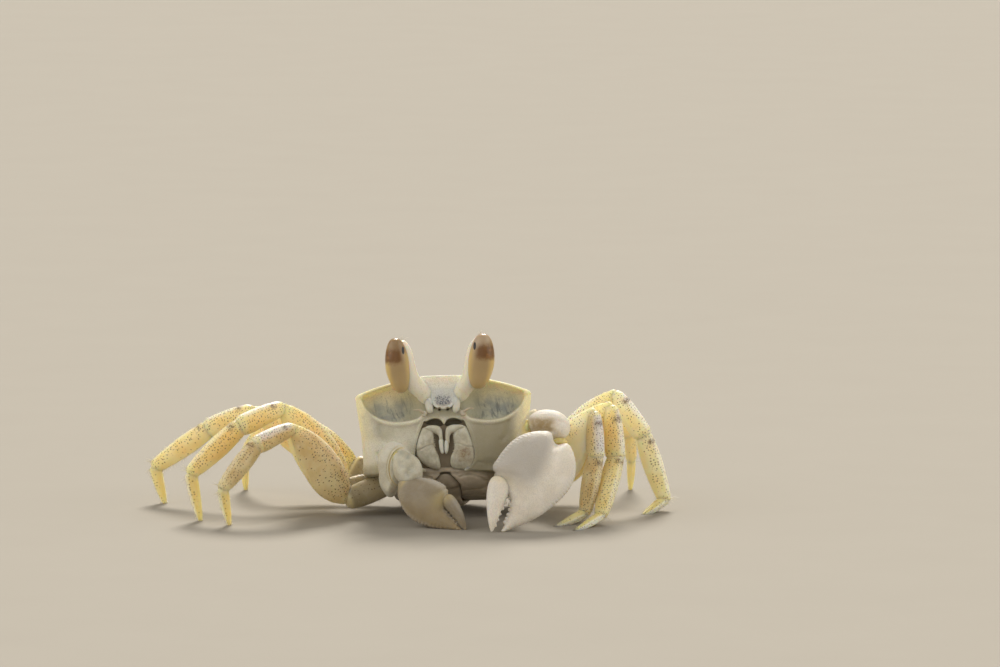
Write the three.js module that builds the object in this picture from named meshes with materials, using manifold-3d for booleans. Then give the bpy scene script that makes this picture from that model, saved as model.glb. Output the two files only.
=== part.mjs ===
// Smooth-handed ghost crab, life size, standing still with both eyestalks raised.
// The crab faces -Y, its left side is +X, and the floor is Z = 0. Millimetres.
// Every shell piece is a closed solid of its own: the back shield, breast plates, folded
// tail, mouth plates, eyes, eyestalks, feelers, and the pieces of each arm and leg. A piece
// that plugs into its neighbour leaves a socket there, with a gap of JOINT_GAP all round.
import * as THREE from 'three';
import { mergeVertices } from 'three/addons/utils/BufferGeometryUtils.js';
import Module from 'manifold-3d';

const wasm = await Module();
wasm.setup();

// ---------------------------------------------------------------- driving dimensions
const JOINT_GAP = 0.3;
const STANCE_CENTRE = [-7.426, -1.647]; // centre of the whole animal's plan, measured from the body's middle

const BODY = { height: 15.2, pitch: 15, roll: 1.6 };   // body middle above the floor; front up; left side up
const SHIELD = {
  halfWidth: 18, front: -15.5, rear: 15.5,             // across the outer corners of the eye sockets
  marginHeight: 10.5, marginDrop: 3.3,                 // front margin, and how far it falls to the corners
  domeRise: 0.9, rearDrop: 3.5, lowerEdge: -8.7,
};
// half outlines seen from above, from the front to the rear: [half width, along the body]
const RIM = [[0, -15.4], [5.2, -15.4], [11, -14.7], [16.4, -13.7], [18, -12.6], [17.9, -8.5], [17.3, -1], [15.6, 6], [12.6, 11.6], [8.2, 14.8], [0, 15.5]];
const EDGE = [[0, -13], [5, -12.9], [10, -12.3], [14.6, -11.1], [16.2, -9], [16.2, -6], [15.6, 0], [13.9, 5.5], [11, 10], [7, 12.6], [0, 13.4]];
const BREAST = [[0, -12.4], [3.4, -12.3], [6.8, -11.4], [9.2, -9.2], [10.3, -5.5], [10.7, -1], [10.2, 3.6], [8.6, 8], [6.4, 11], [3.4, 12.2], [0, 12.4]];
const SOCKET = { x: 10.4, y: -16.9, z: 4.8, half: [7.1, 5.7, 4.0] };  // eye socket
const EYE = {
  R: { centre: [-9.5, -14.6, 31.8], half: [2.5, 2.4, 5.65], lean: -3 },
  L: { centre: [7.6, -14.6, 32.7], half: [2.7, 2.5, 5.7], lean: 3 },
};
const STALK = {
  R: [[-3.5, -12.2, 25.2], [-5.9, -13.7, 27.2], [-8.2, -13.5, 30.0], [-8.75, -13.1, 33.2], [-8.95, -13.5, 36.6]],
  L: [[3.4, -12.2, 25.6], [5.0, -13.7, 27.8], [6.6, -13.5, 30.8], [7.1, -13.1, 34.0], [7.6, -13.5, 37.5]],
};
const STALK_HALF = [1.35, 1.75, 2.05, 1.95, 1.1];

// walking legs: joint lengths hip, thigh (merus), wrist (carpus), shin (propodus), toe (dactyl)
const LEG_LENGTH = {
  1: [10.4, 19.0, 8.7, 11.9, 8.9], 2: [9.2, 21.6, 10.2, 14.0, 10.6],
  3: [8.5, 23.5, 10.1, 14.3, 8.4], 4: [10.3, 18.3, 6.8, 8.8, 7.6],
};
const LEG_HEIGHT = { 1: 1.05, 2: 1.2, 3: 1.15, 4: 0.85 };   // depth of the leg's pieces against the first leg's
// hip point, then [outward azimuth, elevation] of each piece; the toe's elevation takes it to the floor
const LEG_POSE = {
  R1: [[-10.7, -7.4, 6.9], [-17.7, -19.0], [-21.1, 52.7], [-28.4, -17.7], [-39.2, -42.6], [117.9]],
  R2: [[-11.7, -3.1, 5.6], [-13.8, -5.7], [-14.4, 53.4], [-29.6, -16.4], [-15.7, -41.4], [164.3]],
  R3: [[-11.7, 1.5, 4.7], [15.7, 30.0], [4.5, 27.1], [13.0, -22.1], [11.7, -35.4], [-159.4]],
  R4: [[-10.3, 6.3, 4.7], [17.0, 6.8], [20.8, 28.2], [43.0, -22.2], [69.5, -37.1], [96.1]],
  L1: [[11.3, -7.2, 7.5], [-16.4, -6.5], [-30.8, 56.3], [-25.6, -85.1], [-136.8, -75.5], [-138.5]],
  L2: [[12.3, -2.9, 6.2], [-14.4, 1.4], [-26.6, 49.2], [-35.7, -81.6], [-109.9, -50.7], [-123.9]],
  L3: [[12.3, 1.7, 5.4], [14.8, 1.9], [-15.8, 50.6], [-11.0, -52.9], [-0.9, -71.6], [-129.1]],
  L4: [[10.7, 6.5, 5.3], [18.6, 8.9], [26.5, 32.5], [45.2, -28.7], [83.9, -49.0], [94.5]],
};
const TOE_HEIGHT = -0.5;  // the toe's pointed end runs this far past the floor, which trims it to a small flat
// each piece from its near to its far joint: dorsal edge, ventral edge and half thickness
const PIECE = {
  hip:   { top: [[0, 2.2], [0.5, 2.4], [1, 2.2]], bottom: [[0, -2.2], [0.5, -2.5], [1, -2.3]], half: [[0, 1.95], [1, 1.85]], ends: [-0.6, 0.4] },
  thigh: { top: [[0, 1.9], [0.25, 3.5], [0.5, 3.9], [0.8, 3.2], [1, 2.0]], bottom: [[0, -2.0], [0.2, -3.6], [0.45, -3.8], [0.8, -2.5], [1, -1.6]], half: [[0, 1.5], [0.4, 1.95], [1, 1.5]], ends: [-0.4, 1.3] },
  wrist: { top: [[0, 1.7], [0.35, 2.0], [0.8, 2.0], [1, 1.8]], bottom: [[0, -1.2], [0.4, -1.5], [0.8, -1.9], [1, -1.6]], half: [[0, 1.35], [0.5, 1.6], [1, 1.45]], ends: [-0.5, 0.9] },
  shin:  { top: [[0, 1.5], [0.4, 1.9], [0.8, 1.6], [1, 1.2]], bottom: [[0, -1.5], [0.4, -1.9], [0.8, -1.6], [1, -1.2]], half: [[0, 1.2], [0.5, 1.35], [1, 1.1]], ends: [-0.5, 0.6] },
  toe:   { top: [[0, 1.2], [0.4, 1.05], [0.8, 0.65], [1, 0.42]], bottom: [[0, -1.2], [0.4, -0.9], [0.8, -0.6], [1, -0.42]], half: [[0, 1.0], [0.5, 0.8], [1, 0.42]], ends: [-0.4, 0] },
};

// claw arms: [near joint, far joint] of the arm and wrist; the hand lies in a plane through
// its wrist joint, `tip` and a third direction, `across`, towards its lower margin
const CLAW = {
  L: {
    arm: [[10.6, -14.6, 6.6], [19.4, -17.0, 19.6]], armHalf: 2.7, armThick: 2.0,
    wrist: [[17.6, -17.6, 20.4], [24.9, -19.0, 19.8]], wristHalf: 3.45, wristThick: 3.3,
    hand: [22.5, -22.5, 17.45], tip: [11.2, -31.5, 0.0], across: [0.8, 0, -0.6],
    length: 22.3,
    upper: [[-1, -2.2], [-0.2, -3.9], [1.1, -5.2], [3.5, -6.6], [6.6, -7.5], [9.6, -7.9], [12, -7.7], [13.2, -5.6], [14.4, -3.3], [15.6, -1.5], [18.6, -0.3], [22.3, 0.1]],
    lower: [[-1, 2.6], [-0.2, 4.3], [1.2, 5.6], [2.8, 6.4], [5.5, 7.2], [8.6, 7.1], [11.5, 6.5], [15.2, 5.3], [18.5, 3.5], [21, 1.8], [22.3, 0.9]],
    thick: [[-1, 2.0], [1.5, 2.9], [6, 3.4], [11, 3.1], [15, 2.4], [19, 1.6], [22.3, 0.7]],
    finger: { from: [13.2, -5.0], to: [23.5, -1.2], outer: [[0, 2.7], [0.35, 2.2], [0.7, 1.35], [1, 0.45]], inner: [[0, -2.9], [0.3, -1.9], [0.7, -1.0], [1, -0.35]], thick: [[0, 2.1], [0.5, 1.7], [1, 0.55]] },
  },
  R: {
    arm: [[-11.0, -14.4, 5.6], [-11.7, -19.6, 15.4]], armHalf: 2.3, armThick: 2.2,
    wrist: [[-8.9, -20.7, 14.1], [-5.9, -22.4, 8.9]], wristHalf: 3.1, wristThick: 2.4,
    hand: [-7.6, -22.6, 8.3], tip: [4.0, -28.2, 0.15], across: [-0.5, 0, -0.8],
    length: 15.1,
    upper: [[-1.7, -1.2], [-0.8, -2.7], [1.7, -3.3], [3.6, -4.1], [5.8, -4.6], [7.6, -4.5], [8.6, -3.0], [9.4, -1.2], [11, -0.5], [15.1, 0.15]],
    lower: [[-1.7, 0.6], [-0.6, 2.0], [0.8, 3.0], [3.3, 4.1], [6.0, 4.4], [9.5, 3.6], [12.5, 2.2], [15.1, 0.7]],
    thick: [[-1.7, 1.4], [1.5, 2.0], [5, 2.3], [9, 1.7], [12, 1.2], [15.1, 0.55]],
    finger: { from: [8.7, -2.7], to: [15.9, -0.1], outer: [[0, 1.75], [0.4, 1.4], [0.75, 0.85], [1, 0.35]], inner: [[0, -1.6], [0.35, -1.1], [0.75, -0.65], [1, -0.3]], thick: [[0, 1.4], [0.5, 1.05], [1, 0.45]] },
  },
};

// third mouth plates (one each side), lying in the mouth frame: half outlines against height
const MOUTH = { top: 0.7, bottom: -8.4, inner: [[0, 0.75], [0.12, 0.25], [0.9, 0.25], [1, 0.6]], outer: [[0, 3.0], [0.15, 5.0], [0.5, 6.1], [0.72, 5.7], [1, 1.9]], face: [[0, -15.6], [0.4, -15.2], [1, -12.7]], depth: 1.5 };
// folded tail under the breast: [along the body, height], from the rear to the rounded tip
const TAIL_PATH = [[14.4, 0.6], [15.0, -3.4], [13.0, -8.0], [8.6, -11.6], [3.0, -13.5], [-2.6, -13.9], [-7.2, -12.7], [-10.2, -10.7]];
const TAIL_HALF = [[0, 6.2], [0.2, 6.9], [0.38, 6.0], [0.6, 4.2], [0.8, 2.9], [0.93, 2.6], [1, 2.2]];

const SHELL = { color: 0xe9e4d2, roughness: 0.55, metalness: 0 };
const BELLY = { color: 0xd9d6cc, roughness: 0.6, metalness: 0 };
const HAND = { color: 0xf1efea, roughness: 0.5, metalness: 0 };
const LEG = { color: 0xe8d68f, roughness: 0.45, metalness: 0 };
const CORNEA = { color: 0x8a5a30, roughness: 0.12, metalness: 0 };
const STALK_LOOK = { color: 0xeadfb4, roughness: 0.35, metalness: 0 };

// ---------------------------------------------------------------- helpers
const rad = THREE.MathUtils.degToRad;
const vec = (a) => new THREE.Vector3(...a);

// smooth curve through [position, value] stations
function profile(stations) {
  const last = stations.length - 1;
  const slope = stations.map((s, i) => {
    const a = stations[Math.max(i - 1, 0)], b = stations[Math.min(i + 1, last)];
    return (b[1] - a[1]) / (b[0] - a[0]);
  });
  return (t) => {
    if (t <= stations[0][0]) return stations[0][1];
    if (t >= stations[last][0]) return stations[last][1];
    let i = 0;
    while (t > stations[i + 1][0]) i++;
    const [x0, y0] = stations[i], [x1, y1] = stations[i + 1], h = x1 - x0, u = (t - x0) / h;
    return (2 * u ** 3 - 3 * u * u + 1) * y0 + (u ** 3 - 2 * u * u + u) * h * slope[i]
      + (3 * u * u - 2 * u ** 3) * y1 + (u ** 3 - u * u) * h * slope[i + 1];
  };
}

// closed skin from pole to pole: point(u, v) with u round it, v from one end (0) to the other (1)
function skin(around, along, point) {
  const g = new THREE.SphereGeometry(1, around, along);
  const pos = g.attributes.position, uv = g.attributes.uv;
  for (let i = 0; i < pos.count; i++) {
    const v = Math.round((1 - uv.getY(i)) * along) / along;
    const u = v === 0 || v === 1 ? 0 : (Math.round(uv.getX(i) * around) % around) / around;
    const p = point(u, v);
    pos.setXYZ(i, p[0], p[1], p[2]);
  }
  g.deleteAttribute('normal');
  g.deleteAttribute('uv');
  return g;
}

// closed three.js geometry, placed by a matrix, as a solid for cutting and joining
function solid(geometry, matrix) {
  geometry.deleteAttribute('normal');
  geometry.deleteAttribute('uv');
  const g = mergeVertices(geometry, 1e-4);
  if (matrix) g.applyMatrix4(matrix);
  const p = g.attributes.position.array;
  const t = Uint32Array.from(g.index.array);
  let volume = 0;
  const at = (k) => new THREE.Vector3(p[3 * k], p[3 * k + 1], p[3 * k + 2]);
  for (let i = 0; i < t.length; i += 3) volume += at(t[i]).dot(at(t[i + 1]).cross(at(t[i + 2])));
  if (volume < 0) for (let i = 0; i < t.length; i += 3) [t[i + 1], t[i + 2]] = [t[i + 2], t[i + 1]];
  return new wasm.Manifold(new wasm.Mesh({ numProp: 3, vertProperties: Float32Array.from(p), triVerts: t }));
}

// what is left of a solid after the cuts, without any loose crumbs
function cut(body, ...tools) {
  let m = body;
  for (const tool of tools) m = m.subtract(tool);
  const pieces = m.decompose();
  const size = (q) => (q.volume ? q.volume() : q.getProperties().volume);
  return pieces.reduce((a, b) => (size(b) > size(a) ? b : a));
}

const BELOW_FLOOR = solid(new THREE.BoxGeometry(300, 300, 20), new THREE.Matrix4().makeTranslation(0, 0, -10));

const crab = new THREE.Group();
crab.position.set(-STANCE_CENTRE[0], -STANCE_CENTRE[1], 0);

// a named mesh in `group`, whose geometry is given in its own frame
function addMesh(name, m, matrix, group, look) {
  const mesh = m.getMesh();
  const g = new THREE.BufferGeometry();
  const used = [...new Set(mesh.triVerts)], place = new Map(used.map((v, i) => [v, i]));
  g.setAttribute('position', new THREE.Float32BufferAttribute(used.flatMap((v) => [0, 1, 2].map((k) => mesh.vertProperties[v * mesh.numProp + k])), 3));
  g.setIndex([...mesh.triVerts].map((v) => place.get(v)));
  g.applyMatrix4(matrix.clone().invert());
  g.computeVertexNormals();
  const node = new THREE.Mesh(g, new THREE.MeshStandardMaterial(look));
  node.name = name;
  const groupInverse = group.matrix.clone().invert();
  groupInverse.multiply(matrix).decompose(node.position, node.quaternion, node.scale);
  group.add(node);
}

// frame with X along a limb piece and Z on its dorsal side
function limbFrame(origin, along, dorsal) {
  const x = along.clone().normalize();
  const z = dorsal.clone().addScaledVector(x, -dorsal.dot(x)).normalize();
  return new THREE.Matrix4().makeBasis(x, z.clone().cross(x), z).setPosition(origin);
}

const roundEnd = (t, sharpness) => Math.pow(Math.max(0, 1 - Math.pow(Math.abs(2 * t - 1), sharpness)), 1 / sharpness);

// limb piece along X: edges above and below, half thickness across, blunt round ends
function limb(length, { top, bottom, half, ends, blunt = 4 }, scale, around, along, grow = 0) {
  const up = profile(top), down = profile(bottom), wide = profile(half);
  const x0 = ends[0] - grow, x1 = length + ends[1] + grow;
  return skin(around, along, (u, v) => {
    const t = 0.5 - 0.5 * Math.cos(Math.PI * v);
    const x = x0 + (x1 - x0) * t, s = THREE.MathUtils.clamp(x / length, 0, 1), e = roundEnd(t, blunt);
    const a = 2 * Math.PI * u;
    const mid = (up(s) + down(s)) / 2 * scale, hh = (up(s) - down(s)) / 2 * scale + grow;
    return [x, e * (wide(s) + grow) * Math.cos(a), mid + e * hh * Math.sin(a)];
  });
}

// ---------------------------------------------------------------- walking legs
const direction = (side, azimuth, elevation) => new THREE.Vector3(
  side * Math.cos(rad(elevation)) * Math.cos(rad(azimuth)), Math.cos(rad(elevation)) * Math.sin(rad(azimuth)), Math.sin(rad(elevation)));

const NAMES = ['hip', 'thigh', 'wrist', 'shin', 'toe'];
const FACETS = { hip: [7, 5], thigh: [8, 7], wrist: [7, 5], shin: [7, 6], toe: [6, 6] };
const hips = [];      // grown hip pieces, to leave sockets in the body
const legs = [];
for (const [leg, [hip, ...angles]] of Object.entries(LEG_POSE)) {
  const side = leg[0] === 'L' ? 1 : -1;
  const lengths = LEG_LENGTH[leg[1]];
  let joint = vec(hip), dorsal = new THREE.Vector3(0, 0, 1), previous = null;
  const pieces = angles.map(([azimuth, elevation], i) => {
    const toe = i === 4;
    const rise = toe ? -THREE.MathUtils.radToDeg(Math.asin((joint.z - TOE_HEIGHT) / lengths[i])) : elevation;
    const along = direction(side, azimuth, rise);
    if (previous) dorsal.applyQuaternion(new THREE.Quaternion().setFromUnitVectors(previous, along));
    else dorsal.addScaledVector(along, -dorsal.dot(along)).normalize();
    previous = along;
    const frame = limbFrame(joint, along, dorsal);
    joint = joint.clone().addScaledVector(along, lengths[i]);
    return { name: NAMES[i], frame, length: lengths[i] };
  });
  const scale = LEG_HEIGHT[leg[1]];
  const make = (p, grow) => solid(limb(p.length, PIECE[p.name], scale, ...FACETS[p.name], grow), p.frame);
  pieces.forEach((p, i) => {
    let m = make(p, 0);
    const tools = [];
    if (i < 4) tools.push(make(pieces[i + 1], JOINT_GAP));
    if (i === 4) tools.push(BELOW_FLOOR);
    p.solid = tools.length ? cut(m, ...tools) : m;
  });
  hips.push(make(pieces[0], JOINT_GAP));
  legs.push({ leg, pieces });
}

// ---------------------------------------------------------------- claw arms
const claws = [];
for (const [side, c] of Object.entries(CLAW)) {
  const piece = ([from, to], halfHeight, halfThick, grow, facing) => {
    const a = vec(from), b = vec(to), length = a.distanceTo(b);
    const shape = {
      top: [[0, 0.72], [0.45, 1], [1, 0.8]], bottom: [[0, -0.72], [0.5, -1], [1, -0.85]],
      half: [[0, 0.75 * halfThick], [0.5, halfThick], [1, 0.85 * halfThick]], ends: [-0.9, 0.9], blunt: 2.6,
    };
    shape.top = shape.top.map(([t, h]) => [t, h * halfHeight]);
    shape.bottom = shape.bottom.map(([t, h]) => [t, h * halfHeight]);
    const frame = limbFrame(a, b.clone().sub(a), vec(facing));
    return { frame, solid: solid(limb(length, shape, 1, 10, 7, grow), frame) };
  };
  const outward = side === 'L' ? 1 : -1;
  const origin = vec(c.hand);
  const a = vec(c.tip).sub(origin).normalize();
  const b = vec(c.across); b.addScaledVector(a, -b.dot(a)).normalize();
  const plane = new THREE.Matrix4().makeBasis(a, b, a.clone().cross(b)).setPosition(origin);
  const upper = profile(c.upper), lower = profile(c.lower), thick = profile(c.thick);
  const handShape = (grow) => solid(skin(11, 12, (u, v) => {
    const t = 0.5 - 0.5 * Math.cos(Math.PI * v), s = c.upper[0][0] - grow + (c.length - c.upper[0][0] + 2 * grow) * t;
    const e = roundEnd(t, 3.2), phi = 2 * Math.PI * u;
    const mid = (upper(s) + lower(s)) / 2, hh = (lower(s) - upper(s)) / 2 + grow;
    return [s, mid + e * hh * Math.cos(phi), e * (thick(s) + grow) * Math.sin(phi)];
  }), plane);
  const f = c.finger;
  const from = new THREE.Vector3(...f.from, 0).applyMatrix4(plane), to = new THREE.Vector3(...f.to, 0).applyMatrix4(plane);
  const fingerFrame = limbFrame(from, to.clone().sub(from), b.clone().negate());
  const finger = (grow) => solid(limb(from.distanceTo(to), { top: f.outer, bottom: f.inner, half: f.thick, ends: [-0.7, 0] }, 1, 8, 7, grow), fingerFrame);
  const hand = handShape(0), handGrown = handShape(JOINT_GAP);
  const wrist = piece(c.wrist, c.wristHalf, c.wristThick, 0, [0, 0, 1]);
  const wristGrown = piece(c.wrist, c.wristHalf, c.wristThick, JOINT_GAP, [0, 0, 1]).solid;
  const arm = piece(c.arm, c.armHalf, c.armThick, 0, [outward, 0, 0.2]);
  const armGrown = piece(c.arm, c.armHalf, c.armThick, JOINT_GAP, [outward, 0, 0.2]).solid;
  claws.push({
    side, armGrown,
    nodes: [
      ['arm', cut(arm.solid, wristGrown), arm.frame],
      ['wrist', cut(wrist.solid, handGrown), wrist.frame],
      ['hand', cut(hand, finger(JOINT_GAP), BELOW_FLOOR), plane],
      ['finger', cut(finger(0), BELOW_FLOOR), fingerFrame],
    ],
  });
}

// ---------------------------------------------------------------- body
const body = new THREE.Group();
body.position.set(0, 0, BODY.height);
body.rotation.set(-rad(BODY.pitch), -rad(BODY.roll), 0);
body.updateMatrix();
const toWorld = body.matrix;

const outline = (half) => {
  const right = half.map(([x, y]) => new THREE.Vector3(x, y, 0));
  const left = half.slice(1, -1).reverse().map(([x, y]) => new THREE.Vector3(-x, y, 0));
  return new THREE.CatmullRomCurve3([...right, ...left], true, 'centripetal');
};
const rimLine = outline(RIM), edgeLine = outline(EDGE), breastLine = outline(BREAST);
// height of the back at a place seen from above
const backHeight = (x, y) => {
  const across = (x / SHIELD.halfWidth) ** 2, rearward = Math.max(0, (y + 6) / 21.5);
  return SHIELD.marginHeight - SHIELD.marginDrop * across * (1 - 0.45 * rearward)
    + SHIELD.domeRise * (1 - across) * (1 - ((y + 1) / 15) ** 2) - SHIELD.rearDrop * rearward ** 2;
};
const AROUND = 28;
const shieldSkin = skin(AROUND, 11, (u, v) => {
  const step = Math.round(v * 11);
  const rim = rimLine.getPoint(u), edge = edgeLine.getPoint(u);
  if (step <= 4) {                                   // the back, from its middle to the margin
    const s = [0, 0.5, 0.82, 0.965, 1][step];
    const x = rim.x * s, y = -1 + (rim.y + 1) * s;
    return [x, y, backHeight(x, y) - (step === 4 ? 0.55 : 0)];
  }
  const s = [0.1, 0.35, 0.65, 0.92, 1][Math.min(step - 5, 4)];  // the side walls
  const bulge = 0.5 * Math.sin(Math.PI * s);
  const inward = step <= 9 ? 1 : { 10: 0.5, 11: 0 }[step];
  const x = (rim.x + (edge.x - rim.x) * s), y = (rim.y + (edge.y - rim.y) * s);
  const r = Math.hypot(x, y), top = backHeight(rim.x, rim.y) - 0.55;
  return [x * (1 + bulge / r) * inward, y * (1 + bulge / r) * inward, top + (SHIELD.lowerEdge - top) * s];
});
const ellipsoid = (centre, half, around = 12, along = 8) => {
  const g = new THREE.SphereGeometry(1, around, along);
  g.deleteAttribute('normal'); g.deleteAttribute('uv');
  g.scale(...half); g.translate(...centre);
  return g;
};
// front lobe, turned down between the eyestalks
const frontLobe = skin(8, 6, (u, v) => {
  const t = 0.5 - 0.5 * Math.cos(Math.PI * v), e = roundEnd(t, 3), a = 2 * Math.PI * u;
  const wide = profile([[0, 4.3], [0.45, 2.9], [0.8, 2.3], [1, 2.0]])(t);
  return [e * wide * Math.cos(a), -14.6 - 1.2 * t + e * 0.9 * Math.sin(a), 9.9 - 5.9 * t];
});
// mouth plates and the frame they lie in
const mouthPlate = (side, grow) => {
  const inner = profile(MOUTH.inner), outer = profile(MOUTH.outer), face = profile(MOUTH.face);
  return skin(10, 8, (u, v) => {
    const t = 0.5 - 0.5 * Math.cos(Math.PI * v), e = roundEnd(t, 3), a = 2 * Math.PI * u;
    const z = MOUTH.top + grow + (MOUTH.bottom - MOUTH.top - 2 * grow) * t;
    const mid = (inner(t) + outer(t)) / 2, half = (outer(t) - inner(t)) / 2 + grow;
    return [side * (mid + e * half * Math.cos(a)), face(t) + 0.8 + e * (MOUTH.depth / 2 + grow) * Math.sin(a), z];
  });
};
// folded tail: a strip bent round the rear and under the breast
const tailLine = new THREE.CatmullRomCurve3(TAIL_PATH.map(([y, z]) => new THREE.Vector3(0, y, z)));
const tail = (grow) => skin(8, 12, (u, v) => {
  const t = Math.min(1, Math.max(0, v));
  const p = tailLine.getPoint(t), d = tailLine.getTangent(t), e = roundEnd(t, 9), a = 2 * Math.PI * u;
  const half = (profile(TAIL_HALF)(t) + grow) * e, thick = (0.65 + grow) * e;
  const out = new THREE.Vector3(0, -d.z, d.y);
  const extra = v === 0 ? -grow : v === 1 ? grow : 0;
  return [half * Math.cos(a), p.y + d.y * extra + out.y * thick * Math.sin(a), p.z + d.z * extra + out.z * thick * Math.sin(a)];
});
// breast plates: a shallow keel under the shield
const breastSkin = skin(18, 9, (u, v) => {
  const step = Math.round(v * 9);
  const p = breastLine.getPoint(u);
  if (step <= 2) { const s = [0, 0.6, 1][step]; return [p.x * s, p.y * s, -8.95]; }
  const s = [0, 0, 0, 1, 0.97, 0.86, 0.66, 0.45, 0.22, 0][step];
  const depth = [0, 0, 0, 0.35, 0.62, 0.82, 0.94, 0.985, 1, 1][step];
  const y = p.y * s;
  const keel = -13.3 + 0.018 * (y + 2) ** 2;
  return [p.x * s, y, -8.95 + (Math.min(-9.4, keel) + 8.95) * depth];
});

const sockets = [1, -1].map((s) => solid(ellipsoid([s * SOCKET.x, SOCKET.y, SOCKET.z], SOCKET.half), toWorld));
const plates = [1, -1].map((s) => solid(mouthPlate(s, 0), toWorld));
const plateSockets = [1, -1].map((s) => solid(mouthPlate(s, JOINT_GAP), toWorld));
const tailSolid = solid(tail(0), toWorld), tailSocket = solid(tail(JOINT_GAP), toWorld);

// eyestalks: curved and swollen, each with its long cornea set in the front
const stalkSkin = (points, grow) => {
  const line = new THREE.CatmullRomCurve3(points.map(vec));
  const half = profile(STALK_HALF.map((h, i) => [i / 4, h]));
  return skin(9, 7, (u, v) => {
    const t = 0.5 - 0.5 * Math.cos(Math.PI * v), p = line.getPoint(t), d = line.getTangent(t), a = 2 * Math.PI * u;
    const right = new THREE.Vector3(0, 1, 0).cross(d).normalize(), other = d.clone().cross(right);
    const e = roundEnd(t, 3), r = (half(t) + grow) * e, extra = v === 0 ? -grow : v === 1 ? grow : 0;
    return p.addScaledVector(right, r * Math.cos(a)).addScaledVector(other, r * 0.95 * Math.sin(a)).addScaledVector(d, extra).toArray();
  });
};
const eyeFrame = (eye) => new THREE.Matrix4().makeRotationY(rad(eye.lean)).setPosition(vec(eye.centre));
const eyes = Object.entries(EYE).map(([side, eye]) => {
  const frame = eyeFrame(eye);
  const cornea = (grow) => solid(skin(12, 9, (u, v) => {
    const t = 0.5 - 0.5 * Math.cos(Math.PI * v), e = roundEnd(t, 2.5), a = 2 * Math.PI * u, [x, y, z] = eye.half;
    return [e * (x + grow) * Math.cos(a), e * (y + grow) * Math.sin(a), (z + grow) * (2 * t - 1)];
  }), frame);
  return { side, frame, cornea: cornea(0), stalk: cut(solid(stalkSkin(STALK[side], 0)), cornea(JOINT_GAP)), socket: solid(stalkSkin(STALK[side], JOINT_GAP)) };
});
// inner feelers: a folded lobe beside the front lobe, and the short outer feeler below it
const feelers = [1, -1].map((s) => {
  const lobe = (grow) => solid(ellipsoid([s * 3.15, -15.6, 4.5], [0.85 + grow, 1.0 + grow, 1.45 + grow], 7, 5), toWorld);
  const whip = (grow) => {
    const a = new THREE.Vector3(s * 3.4, -15.6, 3.7), b = new THREE.Vector3(s * 4.7, -16.1, 1.9);
    return solid(limb(a.distanceTo(b), { top: [[0, 0.5], [1, 0.28]], bottom: [[0, -0.5], [1, -0.28]], half: [[0, 0.5], [1, 0.28]], ends: [0, 0] }, 1, 5, 3, grow),
      toWorld.clone().multiply(limbFrame(a, b.sub(a), new THREE.Vector3(0, -1, 0))));
  };
  return { side: s > 0 ? 'L' : 'R', solid: lobe(0).add(whip(0)), socket: lobe(JOINT_GAP).add(whip(JOINT_GAP)) };
});

const shield = cut(
  solid(shieldSkin, toWorld).subtract(sockets[0]).subtract(sockets[1]).add(solid(frontLobe, toWorld)),
  ...plateSockets, ...hips, tailSocket, ...claws.map((c) => c.armGrown), ...eyes.map((e) => e.socket), ...feelers.map((f) => f.socket));
const breast = cut(solid(breastSkin, toWorld), ...hips, ...claws.map((c) => c.armGrown), tailSocket, ...plateSockets);

addMesh('shield', shield, toWorld, body, SHELL);
addMesh('breast', breast, toWorld, body, BELLY);
addMesh('tail', cut(tailSolid, ...hips), toWorld, body, BELLY);
addMesh('mouth_plate_L', plates[0], toWorld, body, BELLY);
addMesh('mouth_plate_R', cut(plates[1]), toWorld, body, BELLY);
for (const f of feelers) addMesh(`feeler_${f.side}`, f.solid, toWorld, body, BELLY);
crab.add(body);

const head = new THREE.Group();
for (const e of eyes) {
  addMesh(`eyestalk_${e.side}`, e.stalk, e.frame, head, STALK_LOOK);
  addMesh(`eye_${e.side}`, e.cornea, e.frame, head, CORNEA);
}
crab.add(head);

for (const c of claws) {
  const group = new THREE.Group();
  for (const [name, m, frame] of c.nodes) addMesh(`claw_${c.side}_${name}`, m, frame, group, HAND);
  crab.add(group);
}
for (const { leg, pieces } of legs) {
  const group = new THREE.Group();
  for (const p of pieces) addMesh(`leg_${leg}_${p.name}`, p.solid, p.frame, group, LEG);
  crab.add(group);
}

export default crab;
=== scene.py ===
# Ghost crab: the finished surfaces of the still model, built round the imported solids.
import math

import bpy
import numpy as np
from mathutils import Matrix, Vector


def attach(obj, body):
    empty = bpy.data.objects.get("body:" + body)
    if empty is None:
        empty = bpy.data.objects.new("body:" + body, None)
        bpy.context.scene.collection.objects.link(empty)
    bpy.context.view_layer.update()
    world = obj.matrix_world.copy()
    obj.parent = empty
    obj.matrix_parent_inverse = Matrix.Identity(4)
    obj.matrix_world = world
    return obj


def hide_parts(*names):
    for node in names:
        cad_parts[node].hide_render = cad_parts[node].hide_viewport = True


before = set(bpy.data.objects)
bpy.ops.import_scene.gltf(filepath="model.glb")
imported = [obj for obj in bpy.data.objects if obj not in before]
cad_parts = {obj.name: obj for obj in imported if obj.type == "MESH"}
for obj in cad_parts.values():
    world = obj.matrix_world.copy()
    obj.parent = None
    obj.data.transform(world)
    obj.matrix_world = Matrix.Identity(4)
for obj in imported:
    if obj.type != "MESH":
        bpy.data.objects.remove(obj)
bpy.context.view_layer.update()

MM = 0.001
STANCE_CENTRE = np.array([-7.426, -1.647, 0.0])   # the solids' own offset, in millimetres
rng = np.random.default_rng(7)

# ------------------------------------------------------------------ camera and stage
ELEVATION = math.radians(7.0)
PX_PER_MM = 4.86
DISTANCE = 1500.0
TARGET = np.array([(500 - 444.5) / PX_PER_MM, 0.0, (510 - 333.5) / PX_PER_MM / math.cos(ELEVATION)])
BACK = np.array([0.0, -math.cos(ELEVATION), math.sin(ELEVATION)])


def place(p):
    """millimetres in the crab's frame -> metres in the row frame"""
    return (np.asarray(p, float) - STANCE_CENTRE) * MM


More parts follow.
